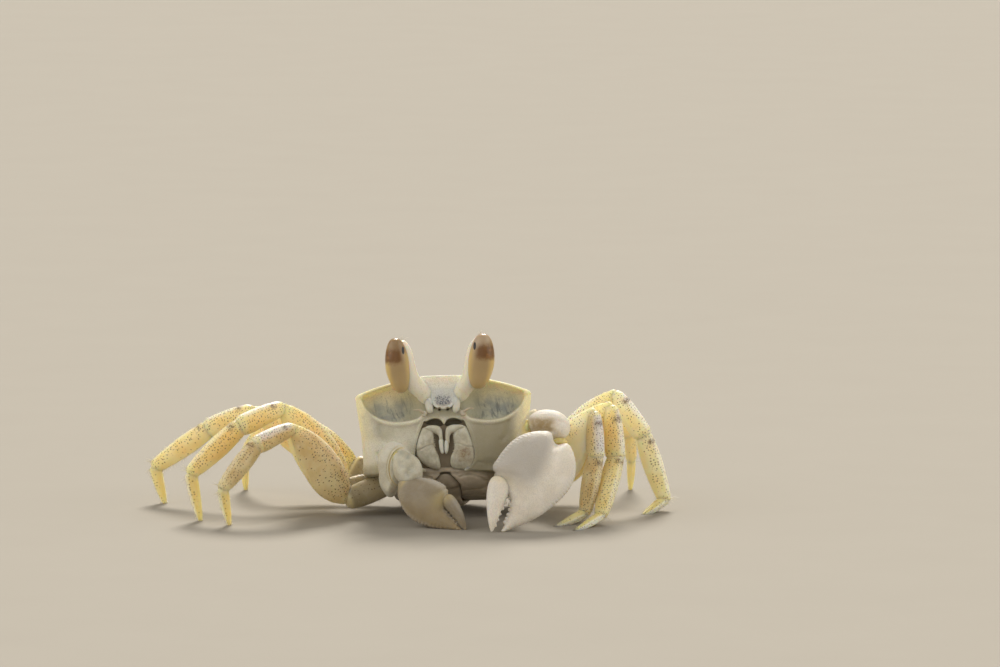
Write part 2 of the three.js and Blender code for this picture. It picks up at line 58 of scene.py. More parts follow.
cam_data = bpy.data.cameras.new("camera")
cam_data.sensor_width = 36.0
cam_data.lens = 36.0 * DISTANCE * PX_PER_MM / 1000.0
cam_data.clip_start, cam_data.clip_end = 0.05, 100.0
cam = bpy.data.objects.new("camera", cam_data)
bpy.context.scene.collection.objects.link(cam)
cam.location = Vector(place(TARGET + BACK * DISTANCE))
cam.rotation_mode = "QUATERNION"
cam.rotation_quaternion = Vector(-BACK).to_track_quat("-Z", "Y")
bpy.context.scene.camera = cam


# ------------------------------------------------------------------ numeric helpers
def profile(stations):
    st = np.array(stations, float)
    x, y = st[:, 0], st[:, 1]
    n = len(x)
    a, b = np.maximum(np.arange(n) - 1, 0), np.minimum(np.arange(n) + 1, n - 1)
    s = (y[b] - y[a]) / (x[b] - x[a])

    def f(t):
        t = np.clip(np.asarray(t, float), x[0], x[-1])
        i = np.clip(np.searchsorted(x, t, side="right") - 1, 0, n - 2)
        h = x[i + 1] - x[i]
        u = (t - x[i]) / h
        return ((2 * u**3 - 3 * u * u + 1) * y[i] + (u**3 - 2 * u * u + u) * h * s[i]
                + (3 * u * u - 2 * u**3) * y[i + 1] + (u**3 - u * u) * h * s[i + 1])
    return f


def smoothstep(a, b, x):
    t = np.clip((x - a) / (b - a), 0, 1)
    return t * t * (3 - 2 * t)


def smin(a, b, k):
    h = np.clip(0.5 + 0.5 * (b - a) / k, 0, 1)
    return b + (a - b) * h - k * h * (1 - h)


def smax(a, b, k):
    return -smin(-a, -b, k)


def round_end(t, p):
    return np.power(np.maximum(0, 1 - np.abs(2 * t - 1) ** p), 1.0 / p)


def unit(v):
    v = np.asarray(v, float)
    return v / np.linalg.norm(v)


def turn(v, a, b):
    """rotates v by the smallest turn that takes unit vector a to unit vector b"""
    c = float(np.dot(a, b))
    w = np.cross(a, b)
    s2 = float(np.dot(w, w))
    if s2 < 1e-12:
        return v
    return v * c + np.cross(w, v) + w * np.dot(w, v) * (1 - c) / s2


def limb_frame(origin, along, dorsal):
    x = unit(along)
    z = unit(dorsal - x * np.dot(dorsal, x))
    y = np.cross(z, x)
    return np.array(origin, float), np.stack([x, y, z], 1)   # columns are the axes


def to_world(fr, p):
    return fr[0] + p @ fr[1].T


def from_world(fr, p):
    return (p - fr[0]) @ fr[1]


# ------------------------------------------------------------------ mesh helpers
def add_object(name, me):
    ob = bpy.data.objects.new(name, me)
    bpy.context.scene.collection.objects.link(ob)
    return ob


def build_mesh(name, verts, quads=None, tris=None, attrs=None, smooth=True):
    """verts in crab millimetres"""
    me = bpy.data.meshes.new(name)
    v = place(verts).astype(np.float32)
    parts, sizes = [], []
    if quads is not None and len(quads):
        parts.append(np.asarray(quads).reshape(-1)); sizes.append(np.full(len(quads), 4))
    if tris is not None and len(tris):
        parts.append(np.asarray(tris).reshape(-1)); sizes.append(np.full(len(tris), 3))
    loops = np.concatenate(parts).astype(np.int32)
    size = np.concatenate(sizes)
    start = np.concatenate([[0], np.cumsum(size)[:-1]]).astype(np.int32)
    me.vertices.add(len(v)); me.vertices.foreach_set("co", v.ravel())
    me.loops.add(len(loops)); me.loops.foreach_set("vertex_index", loops)
    me.polygons.add(len(size)); me.polygons.foreach_set("loop_start", start)
    me.update(calc_edges=True)
    me.validate()
    if smooth:
        me.polygons.foreach_set("use_smooth", np.ones(len(me.polygons), bool))
    for key, value in (attrs or {}).items():
        value = np.asarray(value, np.float32)
        if value.ndim == 1:
            at = me.attributes.new(key, "FLOAT", "POINT"); at.data.foreach_set("value", value)
        else:
            at = me.attributes.new(key, "FLOAT_VECTOR", "POINT"); at.data.foreach_set("vector", value.ravel())
    me.update()
    return add_object(name, me)


def volume_of(v, tris):
    a, b, c = v[tris[:, 0]], v[tris[:, 1]], v[tris[:, 2]]
    return float(np.einsum("ij,ij->i", a, np.cross(b, c)).sum())


def loft(nu, nv, fn, spread=None):
    """closed skin from pole to pole. fn(u, v) -> points; returns verts, quads, tris and each vertex's u, v"""
    v = np.linspace(0, 1, nv + 1)
    if spread is not None:
        v = spread(v)
    u = np.arange(nu) / nu
    U, V = np.meshgrid(u, v[1:-1])
    body = fn(U.ravel(), V.ravel())
    ends = fn(np.zeros(2), np.array([0.0, 1.0]))
    verts = np.vstack([body, ends])
    k, j = np.meshgrid(np.arange(nu), np.arange(nv - 2))
    k, j = k.ravel(), j.ravel()
    k2 = (k + 1) % nu
    quads = np.stack([j * nu + k, j * nu + k2, (j + 1) * nu + k2, (j + 1) * nu + k], 1)
    ring = np.arange(nu); ring2 = (ring + 1) % nu
    a, b = len(body), len(body) + 1
    last = (nv - 2) * nu
    tris = np.vstack([np.stack([np.full(nu, a), ring2, ring], 1), np.stack([np.full(nu, b), last + ring, last + ring2], 1)])
    both = np.vstack([quads[:, [0, 1, 2]], quads[:, [0, 2, 3]], tris])
    if volume_of(verts, both) < 0:
        quads, tris = quads[:, ::-1], tris[:, ::-1]
    uu = np.concatenate([U.ravel(), [0, 0]]); vv = np.concatenate([V.ravel(), [0, 1]])
    return verts, quads, tris, uu, vv


def surface_net(F, axes):
    """closed quad surface where the field F (negative inside) is zero, on a rectilinear grid"""
    F = np.array(F, np.float32)
    n = np.array(F.shape)
    for i in range(3):                                    # keep the border outside
        s = [slice(None)] * 3
        s[i] = 0; F[tuple(s)] = np.maximum(F[tuple(s)], 0.01)
        s[i] = -1; F[tuple(s)] = np.maximum(F[tuple(s)], 0.01)
    F[F == 0] = 1e-6
    cells = tuple(int(k) for k in n - 1)
    total = int(np.prod(cells))
    acc = np.zeros((3, total))
    cnt = np.zeros(total)
    inside = F < 0
    crossings = []
    for axis in range(3):
        s0 = [slice(None)] * 3; s1 = [slice(None)] * 3
        s0[axis] = slice(0, -1); s1[axis] = slice(1, None)
        a, b = F[tuple(s0)], F[tuple(s1)]
        ia, ib = inside[tuple(s0)], inside[tuple(s1)]
        idx = np.argwhere(ia != ib)
        key = tuple(idx.T)
        va, vb, flip = a[key], b[key], ia[key]
        pos = idx.astype(float)
        pos[:, axis] += va / (va - vb)
        others = [i for i in range(3) if i != axis]
        around = []
        for du, dv in ((0, 0), (-1, 0), (-1, -1), (0, -1)):
            c = idx.copy(); c[:, others[0]] += du; c[:, others[1]] += dv
            lin = np.ravel_multi_index(c.T, cells)
            around.append(lin)
            cnt += np.bincount(lin, minlength=total)
            for k in range(3):
                acc[k] += np.bincount(lin, pos[:, k], minlength=total)
        crossings.append((axis, np.stack(around, 1), flip))
    used = np.flatnonzero(cnt > 0)
    number = np.full(total, -1, np.int64)
    number[used] = np.arange(len(used))
    grid = acc[:, used] / cnt[used]
    verts = np.stack([np.interp(grid[k], np.arange(n[k]), axes[k]) for k in range(3)], 1)
    quads = []
    for axis, q, flip in crossings:
        q = number[q]
        flip = ~flip if axis == 1 else flip
        quads.append(np.where(flip[:, None], q, q[:, ::-1]))
    return verts, np.vstack(quads)


def grid_axes(lo, hi, h):
    return [np.arange(a, b + h, h) for a, b in zip(lo, hi)]


def open_grid(axes):
    return axes[0][:, None, None], axes[1][None, :, None], axes[2][None, None, :]


def smooth_closed(points, per=8):
    """centripetal curve through the points, as a dense closed outline"""
    p = np.array(points, float)
    n, out = len(p), []
    for i in range(n):
        q = [p[i - 1], p[i], p[(i + 1) % n], p[(i + 2) % n]]
        t = [0.0]
        for a, b in zip(q, q[1:]):
            t.append(t[-1] + max(1e-6, np.linalg.norm(b - a)) ** 0.5)
        for u in np.linspace(t[1], t[2], per, endpoint=False):
            a1 = q[0] + (q[1] - q[0]) * (u - t[0]) / (t[1] - t[0])
            a2 = q[1] + (q[2] - q[1]) * (u - t[1]) / (t[2] - t[1])
            a3 = q[2] + (q[3] - q[2]) * (u - t[2]) / (t[3] - t[2])
            b1 = a1 + (a2 - a1) * (u - t[0]) / (t[2] - t[0])
            b2 = a2 + (a3 - a2) * (u - t[1]) / (t[3] - t[1])
            out.append(b1 + (b2 - b1) * (u - t[1]) / (t[2] - t[1]))
    return np.array(out)


def mirrored(half, per=8):
    half = [list(p) for p in half]
    return smooth_closed(half + [[-x, y] for x, y in half[1:-1][::-1]], per)


def smooth_open(points, per=8):
    p = np.array(points, float)
    t = np.arange(len(p))
    u = np.linspace(0, len(p) - 1, per * (len(p) - 1) + 1)
    return np.stack([profile(np.stack([t, p[:, k]], 1))(u) for k in range(p.shape[1])], 1)


def outline_distance(poly, A, B):
    """signed distance in a plane to a closed outline, negative inside"""
    A, B = np.broadcast_arrays(A, B)
    best = np.full(A.shape, 1e9); inside = np.zeros(A.shape, bool)
    for (x0, y0), (x1, y1) in zip(poly, np.roll(poly, -1, 0)):
        dx, dy = x1 - x0, y1 - y0
        t = np.clip(((A - x0) * dx + (B - y0) * dy) / (dx * dx + dy * dy + 1e-12), 0, 1)
        best = np.minimum(best, (A - x0 - t * dx) ** 2 + (B - y0 - t * dy) ** 2)
        if y0 != y1:
            inside ^= ((y0 > B) != (y1 > B)) & (A < dx * (B - y0) / dy + x0)
    best = np.sqrt(best)
    return np.where(inside, -best, best)


def line_distance(points, A, B, radius=None):
    """distance in a plane to an open line; with radius (one per point), distance less the radius there"""
    A, B = np.broadcast_arrays(A, B)
    best = np.full(A.shape, 1e9)
    for i in range(len(points) - 1):
        x0, y0 = points[i][:2]; x1, y1 = points[i + 1][:2]
        dx, dy = x1 - x0, y1 - y0
        t = np.clip(((A - x0) * dx + (B - y0) * dy) / (dx * dx + dy * dy + 1e-12), 0, 1)
        d = np.hypot(A - x0 - t * dx, B - y0 - t * dy)
        if radius is not None:
            d = d - (radius[i] + (radius[i + 1] - radius[i]) * t)
        best = np.minimum(best, d)
    return best


def relax(verts, quads, steps=1, amount=0.5):
    """evens the surface out a little, keeping its size"""
    n = len(verts)
    e = np.vstack([quads[:, [0, 1]], quads[:, [1, 2]], quads[:, [2, 3]], quads[:, [3, 0]]])
    for k in range(steps * 2):
        w = amount if k % 2 == 0 else -amount * 1.02
        total = np.zeros_like(verts); cnt = np.zeros(n)
        for c in range(3):
            total[:, c] = np.bincount(e[:, 0], verts[e[:, 1], c], n) + np.bincount(e[:, 1], verts[e[:, 0], c], n)
        cnt = np.bincount(e[:, 0], minlength=n) + np.bincount(e[:, 1], minlength=n)
        verts = verts + w * (total / cnt[:, None] - verts)
    return verts


# ------------------------------------------------------------------ materials
class Look:
    """a procedural material, built node by node"""

    def __init__(self, name):
        self.mat = bpy.data.materials.new(name)
        self.mat.use_nodes = True
        self.nt = self.mat.node_tree
        self.nt.nodes.clear()
        self.out = self.nt.nodes.new("ShaderNodeOutputMaterial")
        self.bsdf = self.nt.nodes.new("ShaderNodeBsdfPrincipled")
        self.nt.links.new(self.bsdf.outputs[0], self.out.inputs[0])
        self.coord = self.nt.nodes.new("ShaderNodeTexCoord").outputs["Object"]

    def set(self, socket, value):
        if isinstance(value, bpy.types.NodeSocket):
            self.nt.links.new(value, socket)
        elif hasattr(socket.default_value, "__len__"):
            value = tuple(value)
            socket.default_value = value + (1.0,) if len(value) == 3 and len(socket.default_value) == 4 else value
        else:
            socket.default_value = value

    def math(self, op, a, b=0.0, c=0.0, clamp=False):
        n = self.nt.nodes.new("ShaderNodeMath"); n.operation = op; n.use_clamp = clamp
        self.set(n.inputs[0], a); self.set(n.inputs[1], b); self.set(n.inputs[2], c)
        return n.outputs[0]

    def step(self, value, low, high):
        """0 below low, 1 above high, smooth between (low may be above high)"""
        n = self.nt.nodes.new("ShaderNodeMapRange"); n.interpolation_type = "SMOOTHSTEP"
        if low <= high:
            self.set(n.inputs[0], value); n.inputs[1].default_value, n.inputs[2].default_value = low, high
            n.inputs[3].default_value, n.inputs[4].default_value = 0.0, 1.0
        else:
            self.set(n.inputs[0], value); n.inputs[1].default_value, n.inputs[2].default_value = high, low
            n.inputs[3].default_value, n.inputs[4].default_value = 1.0, 0.0
        return n.outputs[0]

    def mix(self, factor, a, b, mode="MIX"):
        n = self.nt.nodes.new("ShaderNodeMix"); n.data_type = "RGBA"; n.blend_type = mode; n.clamp_factor = True
        self.set(n.inputs[0], factor); self.set(n.inputs[6], a); self.set(n.inputs[7], b)
        return n.outputs[2]

    def noise(self, scale, detail=3.0, rough=0.55, distort=0.0, coord=None):
        n = self.nt.nodes.new("ShaderNodeTexNoise")
        self.set(n.inputs["Vector"], coord or self.coord)
        n.inputs["Scale"].default_value = scale; n.inputs["Detail"].default_value = detail
        n.inputs["Roughness"].default_value = rough; n.inputs["Distortion"].default_value = distort
        return n.outputs["Fac"]

    def cells(self, scale, randomness=1.0, feature="F1", coord=None):
        n = self.nt.nodes.new("ShaderNodeTexVoronoi"); n.feature = feature
        self.set(n.inputs["Vector"], coord or self.coord)
        n.inputs["Scale"].default_value = scale; n.inputs["Randomness"].default_value = randomness
        return n.outputs["Distance"], (n.outputs["Color"] if feature == "F1" else None)

    def split(self, vector):
        n = self.nt.nodes.new("ShaderNodeSeparateXYZ"); self.set(n.inputs[0], vector)
        return n.outputs[0], n.outputs[1], n.outputs[2]

    def join(self, x, y, z):
        n = self.nt.nodes.new("ShaderNodeCombineXYZ")
        for s, value in zip(n.inputs, (x, y, z)):
            self.set(s, value)
        return n.outputs[0]

    def attr(self, name, kind="Fac"):
        n = self.nt.nodes.new("ShaderNodeAttribute"); n.attribute_name = name
        return n.outputs[kind]

    def bump(self, height, strength, distance, normal=None):
        n = self.nt.nodes.new("ShaderNodeBump")
        n.inputs["Strength"].default_value = strength; n.inputs["Distance"].default_value = distance
        self.set(n.inputs["Height"], height)
        if normal is not None:
            self.set(n.inputs["Normal"], normal)
        return n.outputs[0]

    def finish(self, color, rough, normal=None, sss=0.0, radius=(1.0, 0.6, 0.3), sss_scale=0.001, spec=0.5, coat=0.0, coat_rough=0.1, sheen=0.0, ior=1.5):
        b = self.bsdf.inputs
        self.set(b["Base Color"], color); self.set(b["Roughness"], rough)
        if normal is not None:
            self.set(b["Normal"], normal)
        b["Subsurface Weight"].default_value = sss
        b["Subsurface Radius"].default_value = radius
        b["Subsurface Scale"].default_value = sss_scale
        b["Specular IOR Level"].default_value = spec
        b["Coat Weight"].default_value = coat
        b["Coat Roughness"].default_value = coat_rough
        b["Sheen Weight"].default_value = sheen
        b["IOR"].default_value = ior
        return self.mat


def leg_look(name, deep, pale, edge, spot_amount, painted_shade_amount=0.0):
    """clear leg shell. Attribute 'leg' is (along the piece 0..1, belly -1 .. back +1, across -1..1), 'skin' is millimetres over the surface"""
    k = Look(name)
    along, dorsal, across = k.split(k.attr("leg", "Vector"))
    skin = k.attr("skin", "Vector")
    patch_at, painted_shade_weight, bloom = k.split(k.attr("joint", "Vector"))
    cloud = k.noise(190, 3.0)
    body = k.mix(k.step(cloud, 0.35, 0.7), deep, pale)
    # painted highlight: the edge colour along the back edge stands in for the light from behind catching it
    body = k.mix(k.math("MULTIPLY", k.step(dorsal, 0.62, 0.97), k.math("ADD", 0.85, k.math("MULTIPLY", k.math("MINIMUM", bloom, 0.0), 0.6))), body, edge)
    body = k.mix(k.math("MULTIPLY", k.math("MULTIPLY", k.step(dorsal, 0.15, 0.7), k.math("MAXIMUM", bloom, 0.0)), 0.75), body, (0.80, 0.79, 0.80))
    clear = k.math("MAXIMUM", k.step(along, 0.87, 0.97), k.step(along, 0.08, 0.02))
    body = k.mix(k.math("MULTIPLY", clear, 0.6), body, (0.97, 0.84, 0.46))
    body = k.mix(k.math("MULTIPLY", k.step(dorsal, -0.55, -0.98), 0.5), body, pale)
    body = k.mix(k.math("MULTIPLY", k.step(k.noise(1000, 2.0), 0.52, 0.75), 0.16), body, (0.93, 0.90, 0.80))
    # painted shade: darkens the hips and the front legs, heaviest on the R1 shin
    body = k.mix(k.math("MULTIPLY", painted_shade_weight, painted_shade_amount), body, (0.40, 0.33, 0.20))
    # stipples: small brown dots, more towards the back edge
    v = k.nt.nodes.new("ShaderNodeTexVoronoi"); v.voronoi_dimensions = "2D"
    k.set(v.inputs["Vector"], skin); v.inputs["Scale"].default_value = 1.8; v.inputs["Randomness"].default_value = 0.8
    r, g, b = k.split(v.outputs["Color"])
    density = k.math("ADD", k.math("MULTIPLY", k.step(dorsal, -0.55, 0.40), 0.85), spot_amount - 0.85)
    density = k.math("MULTIPLY", density, k.math("ADD", 0.25, k.math("MULTIPLY", k.step(k.noise(240, 2.0), 0.30, 0.50), 0.75)))
    size = k.math("ADD", k.math("MULTIPLY", g, 0.10), 0.13)
    dot = k.math("MULTIPLY", k.step(k.math("SUBTRACT", v.outputs["Distance"], size), 0.05, -0.04), k.math("GREATER_THAN", density, r))
    tiny = k.nt.nodes.new("ShaderNodeTexVoronoi"); tiny.voronoi_dimensions = "2D"
    k.set(tiny.inputs["Vector"], skin); tiny.inputs["Scale"].default_value = 3.1
    r3, g3, b3 = k.split(tiny.outputs["Color"])
    freckle = k.math("MULTIPLY", k.step(tiny.outputs["Distance"], 0.26, 0.14), k.math("LESS_THAN", r3, k.math("MULTIPLY", density, 0.35)))
    # dark star on the back edge just past each joint
    patch = k.math("MULTIPLY", patch_at, k.step(dorsal, 0.25, 0.75))
    star = k.noise(2.4, 4.0, 0.75, 0.8, coord=skin)
    patch = k.math("MULTIPLY", k.math("MULTIPLY", patch, k.step(star, 0.44, 0.50)), 1.0)
    dark = k.math("MAXIMUM", k.math("MAXIMUM", k.math("MULTIPLY", dot, 0.84), k.math("MULTIPLY", freckle, 0.45)), k.math("MULTIPLY", patch, 0.9))
    body = k.mix(dark, body, k.mix(b, (0.105, 0.055, 0.03), (0.15, 0.085, 0.045)))
    # granules and fine wrinkles
    grain, _ = k.cells(3200)
    height = k.math("ADD", k.math("MULTIPLY", k.step(grain, 0.55, 0.0), 0.6), k.math("MULTIPLY", k.noise(1500, 3.0), 0.5))
    normal = k.bump(height, 0.4, 0.00012)
    rough = k.math("ADD", k.math("MULTIPLY", k.noise(700, 2.0), 0.16), 0.30)
    return k.finish(body, rough, normal, sss=0.85, radius=(1.0, 0.80, 0.42), sss_scale=0.0028, spec=0.5)


def shell_look(name):
    """limy shell of the body: ivory, granular, yellow and clear where it is thin, that yellow partly its own and partly
    painted glow of the light from behind
    """
    k = Look(name)
    at = k.attr("at", "Vector")
    socket, thin_backlit, front = k.split(k.attr("mask_a", "Vector"))
    ledge, furrow, rear = k.split(k.attr("mask_d", "Vector"))
    lobe, lobe_rim, dark = k.split(k.attr("mask_b", "Vector"))
    deep, frame_line, pit = k.split(k.attr("mask_c", "Vector"))
    x, y, z = k.split(at)
    cloud = k.noise(0.35, 4.0, 0.55, coord=at)
    body = k.mix(k.step(cloud, 0.35, 0.68), (0.60, 0.565, 0.44), (0.74, 0.71, 0.59))
    # warm sandy mottling of the back
    back = k.math("SUBTRACT", 1.0, front)
    blotch = k.noise(0.55, 5.0, 0.6, 0.6, coord=at)
    body = k.mix(k.math("MULTIPLY", back, 0.55), body, (0.60, 0.54, 0.40))
    body = k.mix(k.math("MULTIPLY", k.math("MULTIPLY", k.step(blotch, 0.46, 0.60), 0.72), back), body, (0.33, 0.265, 0.16))
    net, _ = k.cells(0.62, feature="DISTANCE_TO_EDGE", coord=k.join(k.math("ADD", x, k.math("MULTIPLY", blotch, 2.2)), k.math("ADD", y, k.math("MULTIPLY", cloud, 2.2)), z))
    body = k.mix(k.math("MULTIPLY", k.math("MULTIPLY", k.step(net, 0.10, 0.02), k.step(cloud, 0.40, 0.58)), k.math("MULTIPLY", back, 0.4)), body, (0.30, 0.24, 0.15))
    body = k.mix(k.math("MULTIPLY", furrow, 0.6), body, (0.27, 0.21, 0.13))
    pale = k.noise(0.8, 3.0, 0.5, coord=at)
    body = k.mix(k.math("MULTIPLY", k.math("MULTIPLY", k.step(pale, 0.56, 0.68), 0.6), back), body, (0.78, 0.75, 0.64))
    d, c = k.cells(2.1, coord=at)
    r, g, b = k.split(c)
    size = k.math("MULTIPLY", k.math("ADD", k.math("MULTIPLY", g, 0.2), 0.08), k.math("LESS_THAN", r, 0.62))
    speck = k.math("MULTIPLY", k.math("MULTIPLY", k.step(k.math("SUBTRACT", d, size), 0.05, -0.04), k.math("GREATER_THAN", size, 0.01)), back)
    body = k.mix(k.math("MULTIPLY", speck, 0.75), body, (0.12, 0.08, 0.05))
    body = k.mix(k.math("MULTIPLY", rear, 0.45), body, (0.52, 0.48, 0.38))
    # thin shell: yellow partly of its own and partly painted glow of light shining through from behind
    body = k.mix(k.math("MULTIPLY", thin_backlit, 0.9), body, (0.95, 0.87, 0.54))
    # painted shade low in the front corners, above the leg bases
    low_corner_shade = k.math("MULTIPLY", k.math("MULTIPLY", k.step(k.math("ABSOLUTE", x), 11.0, 13.5), k.step(z, -4.0, -8.2)), k.step(y, -5.0, -9.0))
    body = k.mix(k.math("MULTIPLY", low_corner_shade, 0.55), body, (0.32, 0.27, 0.165))
    # painted shade low on the cheeks and out towards their sides, heavier on the left cheek, with a painted lit patch
    # on the right cheek
    cheek_side_shade = k.math("MULTIPLY", k.math("MULTIPLY", k.step(k.math("ABSOLUTE", x), 7.5, 14.0), k.step(z, 2.5, -5.0)), front)
    body = k.mix(k.math("MULTIPLY", cheek_side_shade, 0.14), body, (0.46, 0.41, 0.27))
    shade = k.math("MULTIPLY", k.math("MULTIPLY", k.step(x, 3.4, 6.8), k.step(x, 15.2, 13.2)), k.math("MULTIPLY", front, k.step(z, 5.0, 2.0)))
    body = k.mix(k.math("MULTIPLY", shade, 0.76), body, (0.37, 0.33, 0.22))
    shade_r = k.math("MULTIPLY", k.math("MULTIPLY", k.step(x, -4.5, -8.0), k.step(x, -15.0, -13.2)), k.math("MULTIPLY", front, k.step(z, -1.6, 0.6)))
    body = k.mix(k.math("MULTIPLY", shade_r, 0.3), body, (0.42, 0.39, 0.28))
    lit_r = k.math("MULTIPLY", k.math("MULTIPLY", k.step(x, -6.0, -8.5), front), k.math("MULTIPLY", k.step(z, -1.0, -3.0), k.step(z, -8.0, -6.0)))
    body = k.mix(k.math("MULTIPLY", lit_r, 0.8), body, (0.90, 0.87, 0.74))
    # socket: warm clear brow, hollow cooler and darker partly as painted shade, with slate streaks
    inner = k.mix(k.step(z, 3.6, 6.5), (0.63, 0.61, 0.46), (0.97, 0.89, 0.60))
    inner = k.mix(k.math("MULTIPLY", k.step(x, 0.0, 1.0), 0.35), inner, (0.66, 0.69, 0.58))
    ax = k.math("ABSOLUTE", x)
    zone = k.math("MULTIPLY", k.math("MULTIPLY", k.step(ax, 4.8, 8.6), k.step(ax, 16.2, 13.0)), k.math("MULTIPLY", k.step(z, 0.4, 2.6), k.step(z, 7.8, 4.6)))
    smudge = k.step(k.noise(0.42, 3.0, 0.55, coord=at), 0.36, 0.62)
    inner = k.mix(k.math("MULTIPLY", zone, k.math("ADD", k.math("MULTIPLY", smudge, 0.5), k.math("ADD", 0.25, k.math("MULTIPLY", k.step(x, 0.0, 1.0), 0.15)))), inner, (0.30, 0.325, 0.32))
    # painted shade at the inner end of the socket beside the stalk
    inner = k.mix(k.math("MULTIPLY", k.math("MULTIPLY", k.step(ax, 9.4, 6.4), k.step(z, 9.0, 6.5)), 0.5), inner, (0.33, 0.31, 0.20))
    brow = k.math("MULTIPLY", k.step(k.noise(0.5, 2.0, coord=at), 0.4, 0.6), k.step(z, 4.5, 7.5))
    inner = k.mix(k.math("MULTIPLY", brow, 0.05), inner, (0.80, 0.66, 0.38))
    lean = k.join(k.math("ADD", k.math("MULTIPLY", x, 1.5), k.math("MULTIPLY", z, 0.35)), k.math("MULTIPLY", y, 0.6), k.math("MULTIPLY", z, 0.30))
    streak = k.noise(1.0, 4.0, 0.65, 0.4, coord=lean)
    streaks = k.math("MULTIPLY", k.step(streak, 0.46, 0.66), zone)
    inner = k.mix(k.math("MULTIPLY", streaks, 0.76), inner, (0.13, 0.15, 0.165))
    d4, c4 = k.cells(1.7, coord=at)
    r4, g4, b4 = k.split(c4)
    fleck = k.math("MULTIPLY", k.math("MULTIPLY", k.step(d4, 0.2, 0.1), k.math("LESS_THAN", r4, 0.5)), k.math("MULTIPLY", k.step(z, 5.6, 7.4), k.step(ax, 8.0, 12.5)))
    inner = k.mix(k.math("MULTIPLY", fleck, 0.8), inner, (0.20, 0.12, 0.06))
    body = k.mix(socket, body, inner)
    body = k.mix(k.math("MULTIPLY", ledge, 0.6), body, (0.86, 0.84, 0.70))
    # front lobe, with slate freckles and a bright edge
    freckle = k.noise(3.9, 3.0, 0.75, 0.5, coord=at)
    fz = k.math("MULTIPLY", k.math("MULTIPLY", k.step(z, 7.5, 5.9), k.step(z, 3.8, 4.9)), k.step(k.math("ABSOLUTE", k.math("ADD", x, 0.1)), 2.4, 1.0))
    tint = k.mix(k.math("MULTIPLY", k.step(z, 8.6, 7.6), 0.85), (0.97, 0.94, 0.83), (0.76, 0.77, 0.73))
    tint = k.mix(k.math("MULTIPLY", k.step(z, 5.6, 4.6), 0.7), tint, (0.50, 0.46, 0.38))
    tint = k.mix(k.math("MULTIPLY", fz, 0.35), tint, (0.42, 0.44, 0.47))
    tint = k.mix(k.math("MULTIPLY", k.math("MULTIPLY", k.step(k.math("ADD", freckle, k.math("MULTIPLY", fz, 0.16)), 0.61, 0.71), fz), 0.95), tint, (0.09, 0.105, 0.16))
    smear = k.math("MULTIPLY", k.math("MULTIPLY", k.step(z, 8.2, 9.0), k.step(z, 10.6, 9.8)), k.step(k.noise(1.6, 3.0, coord=at), 0.45, 0.62))
    tint = k.mix(k.math("MULTIPLY", smear, 0.12), tint, (0.50, 0.38, 0.16))
    body = k.mix(lobe, body, tint)
    body = k.mix(k.math("MULTIPLY", lobe_rim, 0.85), body, (0.80, 0.80, 0.74))
    # mouth field; the sunken field behind the plates and the breathing gaps get painted shade
    body = k.mix(k.math("MULTIPLY", pit, 0.7), body, (0.36, 0.345, 0.225))
    body = k.mix(deep, body, (0.30, 0.24, 0.165))
    body = k.mix(k.math("MULTIPLY", frame_line, 0.25), body, (0.30, 0.26, 0.17))
    body = k.mix(dark, body, (0.16, 0.135, 0.085))
    # stray dots on the cheeks
    d2, c2 = k.cells(1.1, coord=at)
    r2, g2, b2 = k.split(c2)
    mole = k.math("MULTIPLY", k.step(d2, 0.13, 0.07), k.math("LESS_THAN", r2, 0.22))
    body = k.mix(k.math("MULTIPLY", k.math("MULTIPLY", mole, 0.6), front), body, (0.22, 0.14, 0.10))
    # granules, coarser on the back and flanks
    fine, _ = k.cells(5.2, coord=at)
    body = k.mix(k.math("MULTIPLY", k.step(fine, 0.35, 0.75), 0.22), body, (0.34, 0.30, 0.20))
    coarse, _ = k.cells(2.4, coord=at)
    smooth_face = k.math("MULTIPLY", k.step(fine, 0.6, 0.0), 0.25)
    rough_back = k.math("MULTIPLY", k.step(coarse, 0.5, 0.05), k.math("ADD", k.math("MULTIPLY", back, 0.9), k.math("MULTIPLY", thin_backlit, 0.3)))
    height = k.math("ADD", k.math("ADD", smooth_face, rough_back), k.math("MULTIPLY", k.noise(2.2, 4.0, 0.6, coord=at), 0.35))
    normal = k.bump(height, 0.5, 0.00016)
    rough = k.math("ADD", k.math("MULTIPLY", k.noise(1.2, 2.0, coord=at), 0.2), 0.38)
    return k.finish(body, rough, normal, sss=0.6, radius=(1.0, 0.72, 0.35), sss_scale=0.0016, spec=0.4)


